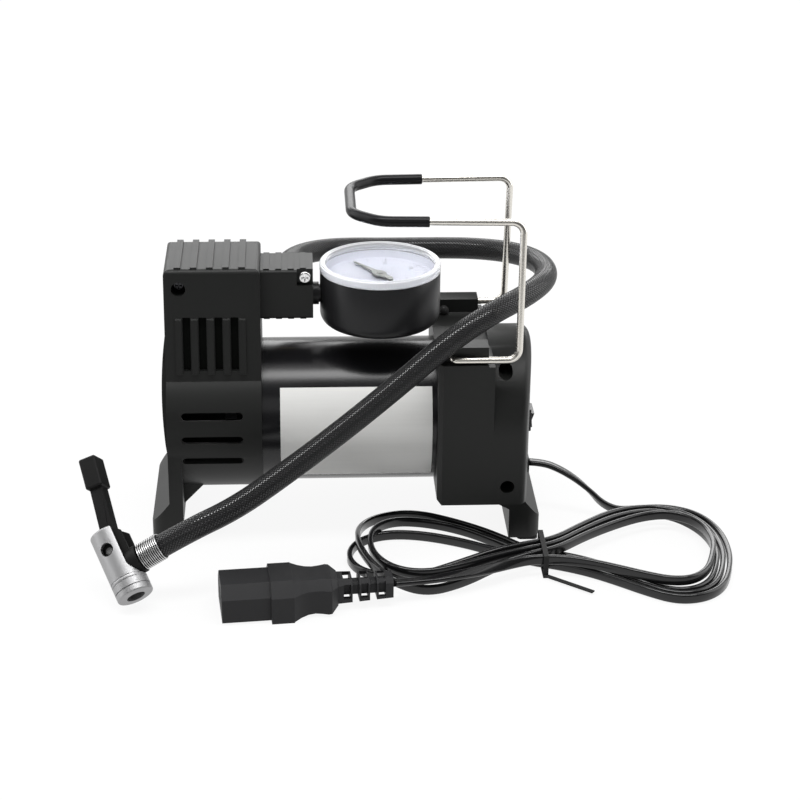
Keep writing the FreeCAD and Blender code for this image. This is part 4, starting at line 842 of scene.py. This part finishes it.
def makeSlotLiner():
    corners = [
        Vector((x, y + back, z)) * mm
        for x in (slotShadeSheet["left"], slotShadeSheet["right"])
        for back in (0, slotShadeSheet["thick"])
        for y, z in (slotShadeSheet["foot"], slotShadeSheet["head"])
    ]
    faces = [(0, 1, 3, 2), (4, 6, 7, 5), (0, 4, 5, 1), (2, 3, 7, 6), (0, 2, 6, 4), (1, 5, 7, 3)]
    shadeSheet = meshPiece("head_slot_shade_sheet", corners, faces, smooth=False)
    # Near-black: painted shade in the slots
    paint(shadeSheet, "slot_shade")
    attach(shadeSheet, "housing")


makeSlotLiner()


# Gauge

def arc(centre, radius, first, last, count):
    # Points on an arc in an outline, from the first angle to the last in degrees
    angles = [math.radians(first + (last - first) * i / count) for i in range(count + 1)]
    return [(centre[0] + radius * math.cos(a), centre[1] + radius * math.sin(a)) for a in angles]


def scaled(outline):
    return [(radius * mm, height * mm) for radius, height in outline]


def shifted(outline, radius, height):
    return [(radius + out, height + up) for out, up in outline]


def makeGauge():
    place = Vector(gauge["place"]) * mm
    radius, wall, edge = gauge["radius"], gauge["wall"], gauge["edge"]
    low, top = gauge["bottom"], gauge["top"]
    outline = [(0, low)]
    outline += arc((radius - edge, low + edge), edge, -90, 0, 12)
    outline += shifted(gauge["lip"], radius, top) + [(radius - wall, top)]
    outline += arc((radius - edge, low + edge), edge - wall, 0, -90, 8)
    outline += [(0, low + wall)]
    case = lathe("gauge_case_drawn", scaled(outline), place, (0, 0, 1), 128)
    housed(case, "gauge", "gauge_case", slot="gauge_black")

    outer, peak, inside = gauge["lensRadius"], gauge["lensTop"], gauge["lensInside"]
    edge, gap = gauge["lensEdge"], gauge["lensGap"]
    deep, curve, roof = gauge["lensRoof"]
    outline = [(spot, peak - drop) for spot, drop in gauge["lensFace"]]
    outline += arc((outer - edge, peak - gap - edge), edge, 80, 0, 6)
    outline += shifted(gauge["lensSkirt"], outer, top) + [(inside, top + gap), (inside, peak - deep)]
    outline += arc((inside - curve, peak - deep), curve, 30, 90, 4) + [(0, peak - roof)]
    lens = lathe("gauge_lens_drawn", scaled(outline), place, (0, 0, 1), 128)
    housed(lens, "lens", "gauge_lens", slot="lens")

    low, high, edge, hole = gauge["dial"], gauge["dialTop"], gauge["dialRadius"], gauge["dialHole"]
    outline = [(hole, low), (edge, low)] + shifted(gauge["dialRim"], edge, top)
    outline += shifted(gauge["dialFoot"], edge, high) + [(hole, high)]
    dial = lathe("gauge_dial_drawn", scaled(outline), place, (0, 0, 1), 128, closed=True)
    housed(dial, "dial", "gauge_dial", slot="dial")


def makeNeedle():
    low, high = gauge["needle"] * mm, gauge["needleTop"] * mm
    drop, draw = gauge["needleBevel"]
    half = gauge["needleSide"]
    shape = half + [(x, -y) for x, y in reversed(half[1:-1])]
    turn = Matrix.Rotation(math.radians(gauge["zero"]), 3, "Z")
    middle = Vector(gauge["place"]) * mm
    vertices = []
    for height, inset in ((low, 0.0), (high - drop * mm, 0.0), (high, draw)):
        for x, y in shape:
            shrink = 1 - inset / max(math.hypot(x, y), 1)
            vertices.append(middle + turn @ Vector((x * shrink * mm, y * shrink * mm, height)))
    count = len(shape)
    faces = [tuple(reversed(range(count))), tuple(range(2 * count, 3 * count))]
    for ring in (0, count):
        for index in range(count):
            following = (index + 1) % count
            faces.append((ring + index, ring + following, ring + count + following, ring + count + index))
    blade = meshPiece("needle_blade", vertices, faces, smooth=False)
    pin = lathe("needle_pin", scaled(gauge["needlePin"]), middle, (0, 0, 1), 32)
    for piece in (blade, pin):
        housed(piece, "needle", "gauge_needle", body="needle", slot="needle")


makeGauge()
makeNeedle()


# Geometry Nodes helpers

class Recipe:
    # A Geometry Nodes group that is built, run once and kept as a plain mesh
    def __init__(self, name):
        self.group = bpy.data.node_groups.new(name, "GeometryNodeTree")
        self.group.interface.new_socket("Geometry", in_out="INPUT", socket_type="NodeSocketGeometry")
        self.group.interface.new_socket("Geometry", in_out="OUTPUT", socket_type="NodeSocketGeometry")
        self.inlet = self.group.nodes.new("NodeGroupInput")
        self.outlet = self.group.nodes.new("NodeGroupOutput")

    def number(self, name, value, kind="NodeSocketFloat"):
        socket = self.group.interface.new_socket(name, in_out="INPUT", socket_type=kind)
        socket.default_value = value
        return self.inlet.outputs[name]

    def node(self, kind, **inputs):
        return addNode(self.group, kind, {}, inputs)

    def maths(self, operation, *values):
        made = addNode(self.group, "ShaderNodeMath", {"operation": operation}, dict(enumerate(values)))
        return made.outputs[0]

    def made(self, geometry, key, name):
        real = self.node("GeometryNodeRealizeInstances", Geometry=geometry)
        coat = self.node("GeometryNodeSetMaterial", Geometry=real.outputs[0], Material=materials[key])
        self.group.links.new(coat.outputs[0], self.outlet.inputs[0])
        holder = addObject(name, bpy.data.meshes.new(name))
        modifier = holder.modifiers.new("recipe", "NODES")
        modifier.node_group = self.group
        return settled(holder)


# Dial print: three rows of ticks and two rows of plain numbers

dialPrint = {
    "height": 0.05,
    "ticks": [
        {"name": "fine", "count": 61, "from": 21.0, "length": 1.5, "width": 0.22, "key": "ink"},
        {"name": "bold", "count": 13, "from": 19.6, "length": 2.9, "width": 0.42, "key": "ink"},
        {"name": "inner", "count": 41, "from": 14.2, "length": 1.1, "width": 0.20, "key": "blueInk"},
    ],
    "numbers": [
        {"values": [0, 50, 100, 150, 200, 250, 300], "radius": 17.2, "size": 3.0},
        {"values": [0, 5, 10, 15, 20], "radius": 11.6, "size": 2.2},
    ],
}


def tickRow(row):
    recipe = Recipe(row["name"] + "_ticks")
    count = recipe.number("Ticks", row["count"], "NodeSocketInt")
    first = recipe.number("First angle", math.radians(gauge["zero"]))
    whole = recipe.number("Sweep", math.radians(gauge["sweep"]))
    reach = recipe.number("Inner radius", row["from"] * mm)
    length = recipe.number("Tick length", row["length"] * mm)
    width = recipe.number("Tick width", row["width"] * mm)
    size = recipe.node("ShaderNodeCombineXYZ", X=length, Y=width, Z=dialPrint["height"] * mm)
    bar = recipe.node("GeometryNodeMeshCube", Size=size.outputs[0])
    out = recipe.node("ShaderNodeCombineXYZ", X=recipe.maths("MULTIPLY_ADD", length, 0.5, reach))
    moved = recipe.node("GeometryNodeTransform", Geometry=bar.outputs[0], Translation=out.outputs[0])
    spots = recipe.node("GeometryNodeMeshLine", Count=count, Offset=(0.0, 0.0, 0.0))
    index = recipe.node("GeometryNodeInputIndex")
    step = recipe.maths("DIVIDE", whole, recipe.maths("SUBTRACT", count, 1.0))
    turned = recipe.maths("MULTIPLY", step, index.outputs[0])
    spin = recipe.node("ShaderNodeCombineXYZ", Z=recipe.maths("SUBTRACT", first, turned))
    rows = recipe.node("GeometryNodeInstanceOnPoints", Points=spots.outputs[0], Instance=moved.outputs[0])
    recipe.group.links.new(spin.outputs[0], rows.inputs["Rotation"])
    place = Vector(gauge["place"]) * mm + Vector((0, 0, gauge["dialTop"] * mm))
    placed = recipe.node("GeometryNodeTransform", Geometry=rows.outputs[0], Translation=tuple(place))
    return recipe.made(placed.outputs[0], row["key"], "dial_" + row["name"])


def dialNumber(value, share, radius, size):
    # A plain number on the dial, turned to stand upright when the stem points down
    text = bpy.data.curves.new("number", "FONT")
    text.body = str(value)
    text.size = size * mm
    text.align_x = "CENTER"
    text.align_y = "CENTER"
    text.extrude = 0.5 * dialPrint["height"] * mm
    text.resolution_u = 3
    holder = bpy.data.objects.new("number", text)
    mesh = bpy.data.meshes.new_from_object(holder)
    bpy.data.objects.remove(holder)
    bpy.data.curves.remove(text)
    angle = math.radians(gauge["zero"] - gauge["sweep"] * share)
    place = Vector(gauge["place"]) * mm
    place += Vector((math.cos(angle) * radius * mm, math.sin(angle) * radius * mm, gauge["dialTop"] * mm))
    mesh.transform(Matrix.Translation(place) @ Matrix.Rotation(-math.pi / 2, 4, "Z"))
    return mesh


def makeDialPrint():
    for row in dialPrint["ticks"]:
        housed(tickRow(row), row["key"], "gauge_dial", slot="dial")
    mesh = bmesh.new()
    for row in dialPrint["numbers"]:
        for index, value in enumerate(row["values"]):
            share = index / (len(row["values"]) - 1)
            number = dialNumber(value, share, row["radius"], row["size"])
            mesh.from_mesh(number)
            bpy.data.meshes.remove(number)
    joined = bpy.data.meshes.new("dial_numbers")
    mesh.to_mesh(joined)
    mesh.free()
    housed(addObject("dial_numbers", joined), "ink", "gauge_dial", slot="dial")


makeDialPrint()
print("gauge made")


# Handle wire and its sleeve

handle = {
    "wire": 1.5,
    "sleeve": 2.3,
    "sleeveFrom": 35.0,
    "side": [
        (45.4, -22.8, 88.9),
        (45.4, -35.2, 88.9),
        (73.8, -35.2, 88.9),
        (74.6, -30.5, 149.5),
        (14.4, -28.0, 149.5),
        (2.4, -17.5, 149.5),
    ],
    "bends": [1.8, 5.0, 5.0, 14.0, 12.0],
    "wireEnd": (0.4, 0.7),
    "sleeveEnd": (0.5, 0.86),
    "endCap": [(0, 0.8), (1.2, 0.8), (1.9, 0.3), (2.3, -0.6), (2.3, -5.0), (0, -5.0)],
}


def carried(line, first):
    # A direction square to the line at each point, carried along without twisting
    sides = {}
    side = Vector(first)
    for index, run in enumerate(runsAlong(line)):
        side = squareTo(side, aheadAt(line, index))
        sides.setdefault(run, side)

    def sideAt(run, whole, ahead):
        return sides[run]

    return sideAt


def softEnds(reach, least):
    # The sweep's size, drawn in over a short reach at both ends
    def sizeAt(run, whole):
        near = min(run, whole - run) / reach
        if near >= 1:
            return 1.0
        return least + (1 - least) * math.sqrt(max(1 - (1 - near) ** 2, 0))

    return sizeAt


def withEndSteps(line, reach, count=4):
    # The line with a few more points close to its ends, so that a soft end is round
    first = (line[1] - line[0]).normalized()
    last = (line[-2] - line[-1]).normalized()
    head = [line[0] + first * (reach * i / count) for i in range(count + 1)]
    tail = [line[-1] + last * (reach * i / count) for i in range(count, -1, -1)]
    return head + line[1:-1] + tail


def makeHandle():
    side = [Vector(p) * mm for p in handle["side"]]
    other = [Vector((p.x, -p.y, p.z)) for p in reversed(side)]
    bends = [bend * mm for bend in handle["bends"]]
    points = side + other
    line = roundedLine(points, bends + bends[::-1])
    reach, least = handle["wireEnd"]
    line = withEndSteps(line, reach * mm)
    wire = sweep(
        "handle_wire_drawn", line, ringOutline(handle["wire"] * mm, 24), carried(line, (0, 0, 1)),
        softEnds(reach * mm, least),
    )
    housed(wire, "nickel", "handle_wire", body="handle", slot="wire")
    for letter, end, way in (("a", side[0], 1), ("b", other[-1], -1)):
        cap = lathe("handle_end_cap_" + letter, scaled(handle["endCap"]), end, (0, way, 0), 32)
        housed(cap, "rubber", "handle_wire", body="handle", slot="wire")

    start = side[3].lerp(side[4], (side[3].x - handle["sleeveFrom"] * mm) / (side[3].x - side[4].x))
    end = Vector((start.x, -start.y, start.z))
    inner = [start] + points[4:-4] + [end]
    line = roundedLine(inner, (bends + bends[::-1])[3:-3], turnStep=4.0)
    reach, least = handle["sleeveEnd"]
    line = withEndSteps(line, reach * mm)
    sleeve = sweep(
        "handle_sleeve", line, ringOutline(handle["sleeve"] * mm, 32), carried(line, (0, 0, 1)),
        softEnds(reach * mm, least),
    )
    housed(sleeve, "sleeve", "handle_grip", body="handle", slot="grip")


makeHandle()


# Ferrule: close turns of bright wire over a core painted dark, as the shade in the gaps between the turns

ferrule = {
    "length": 10.4,
    "turns": 11,
    "radius": 5.58,
    "wire": 0.29,
    "core": (5.05, 5.34),
    "coreInset": 0.3,
}


def makeFerrule():
    recipe = Recipe("wound_ferrule")
    turns = recipe.number("Turns", float(ferrule["turns"]))
    radius = recipe.number("Coil radius", ferrule["radius"] * mm)
    length = recipe.number("Length", (ferrule["length"] - 2 * ferrule["wire"]) * mm)
    thick = recipe.number("Wire radius", ferrule["wire"] * mm)
    coil = recipe.node(
        "GeometryNodeCurveSpiral", Resolution=40, Rotations=turns, Start_Radius=radius, End_Radius=radius,
        Height=length,
    )
    section = recipe.node("GeometryNodeCurvePrimitiveCircle", Resolution=10, Radius=thick)
    tube = recipe.node(
        "GeometryNodeCurveToMesh", Curve=coil.outputs[0], Profile_Curve=section.outputs[0], Fill_Caps=True,
    )
    smooth = recipe.node("GeometryNodeSetShadeSmooth", Geometry=tube.outputs[0])
    axis = chuckFrame()[0]
    turn = axis.to_track_quat("Z", "Y").to_euler()
    place = inChuck(chuck["ferruleStart"] + ferrule["wire"], 0, 0)
    placed = recipe.node(
        "GeometryNodeTransform", Geometry=smooth.outputs[0], Translation=tuple(place), Rotation=tuple(turn),
    )
    coil = recipe.made(placed.outputs[0], "chrome", "ferrule_coil")
    housed(coil, "chrome", "hose_ferrule", slot="ferrule")
    inner, outer = ferrule["core"]
    low, high = ferrule["coreInset"], ferrule["length"] - ferrule["coreInset"]
    outline = [(inner, low), (outer, low), (outer, high), (inner, high)]
    start = inChuck(chuck["ferruleStart"], 0, 0)
    core = lathe("ferrule_core", scaled(outline), start, axis, 48, closed=True)
    # The core takes the dark lever finish as painted shade, so that the gaps between the turns read dark
    housed(core, "lever", "hose_ferrule", slot="ferrule")
    return coil, core


ferruleCoil, ferruleCore = makeFerrule()
print("handle and ferrule made")


# Floor, sky and lamps

class Tree:
    # Plain nodes of a world or a floor
    def __init__(self, tree):
        self.tree = tree

    def node(self, kind, *values, **settings):
        return addNode(self.tree, kind, settings, dict(enumerate(values)))

    def maths(self, operation, *values):
        return self.node("ShaderNodeMath", *values, operation=operation).outputs[0]

    def rays(self):
        # One for rays that are seen, mirrored or through glass, where nothing matt lies before them
        path = self.node("ShaderNodeLightPath").outputs
        total = self.maths("MAXIMUM", path["Is Camera Ray"], path["Is Glossy Ray"])
        total = self.maths("MAXIMUM", total, path["Is Transmission Ray"])
        return self.maths("MULTIPLY", total, self.maths("LESS_THAN", path["Diffuse Depth"], 0.5))

    def cameraRay(self):
        return self.node("ShaderNodeLightPath").outputs["Is Camera Ray"]

    def finish(self, surface, output):
        self.tree.links.new(surface.outputs[0], self.tree.nodes[output].inputs["Surface"])


studio = {
    "floorSeen": (0.95, 0.95, 0.95, 1),
    "floorBounce": (0.42, 0.42, 0.42, 1),
    "floorGlow": 0.9,
    "floorFront": -0.55,
    "floorReach": 3,
    "floorRoughness": 0.9,
    "sky": 0.32,
    "behind": 0.1,
    "beyond": 0.8,
    "dimFrom": -0.35,
    "dimTo": 0.1,
}


def makeStage():
    scene = bpy.context.scene
    scene.view_settings.view_transform = "Standard"
    world = bpy.data.worlds.new("studio")
    scene.world = world
    world.use_nodes = True
    sky = Tree(world.node_tree)
    dim = world.node_tree.nodes["Background"]
    dim.inputs["Color"].default_value = (1, 1, 1, 1)
    dim.inputs["Strength"].default_value = studio["sky"]
    # The camera sees white all round. In reflections the room behind the camera is darker
    where = sky.node("ShaderNodeTexCoord")
    back = sky.node("ShaderNodeSeparateXYZ", where.outputs["Generated"]).outputs[1]
    ends = [studio[key] for key in ("dimFrom", "dimTo", "behind", "beyond")]
    reach = sky.node("ShaderNodeMapRange", back, *ends).outputs[0]
    white = sky.node("ShaderNodeBackground", (1, 1, 1, 1), sky.maths("MAXIMUM", reach, sky.cameraRay()))
    choose = sky.node("ShaderNodeMixShader", sky.rays(), dim.outputs[0], white.outputs[0])
    sky.finish(choose, "World Output")

    front, far = studio["floorFront"], studio["floorReach"]
    corners = [(-far, front, 0), (far, front, 0), (far, far, 0), (-far, far, 0)]
    floor = meshPiece("floor", corners, [(0, 1, 2, 3)], smooth=False)
    surface = bpy.data.materials.new("floor_white")
    surface.use_nodes = True
    ground = Tree(surface.node_tree)
    matt = surface.node_tree.nodes["Principled BSDF"]
    tones = {0: ground.cameraRay(), 6: studio["floorBounce"], 7: studio["floorSeen"]}
    colour = addNode(ground.tree, "ShaderNodeMix", {"data_type": "RGBA"}, tones)
    ground.tree.links.new(colour.outputs[2], matt.inputs["Base Color"])
    matt.inputs["Roughness"].default_value = studio["floorRoughness"]
    glow = ground.node("ShaderNodeEmission")
    share = ground.maths("MULTIPLY", ground.rays(), studio["floorGlow"])
    blend = ground.node("ShaderNodeMixShader", share, matt.outputs[0], glow.outputs[0])
    ground.finish(blend, "Material Output")
    floor.data.materials.append(surface)


lamps = [
    {"name": "overhead", "place": (0.0, -0.22, 1.1), "aimHeight": 0.05, "size": (1.2, 0.26), "power": 9.5},
    {"name": "backStrip", "place": (0.0, 1.3, 0.66), "aimHeight": 0.1, "size": (1.8, 0.4), "power": 9.0},
    {"name": "frontFill", "place": (-0.3, -1.3, 0.8), "aimHeight": 0.05, "size": (0.8, 0.6), "power": 1.0},
    {"name": "rightSide", "place": (1.0, 0.1, 0.5), "aimHeight": 0.07, "size": (0.9, 1.2), "power": 5.0},
    {"name": "leftSide", "place": (-1.0, 0.1, 0.5), "aimHeight": 0.07, "size": (0.9, 1.2), "power": 6.0},
]


def makeLamps():
    for lamp in lamps:
        data = bpy.data.lights.new(lamp["name"], "AREA")
        data.shape = "RECTANGLE"
        data.size, data.size_y = lamp["size"]
        data.energy = lamp["power"]
        piece = addObject(lamp["name"], data)
        place = Vector(lamp["place"])
        piece.location = place
        piece.rotation_mode = "QUATERNION"
        aim = Vector((0, 0, lamp["aimHeight"]))
        piece.rotation_quaternion = (aim - place).to_track_quat("-Z", "Y")


makeStage()
makeLamps()
print("stage lit")
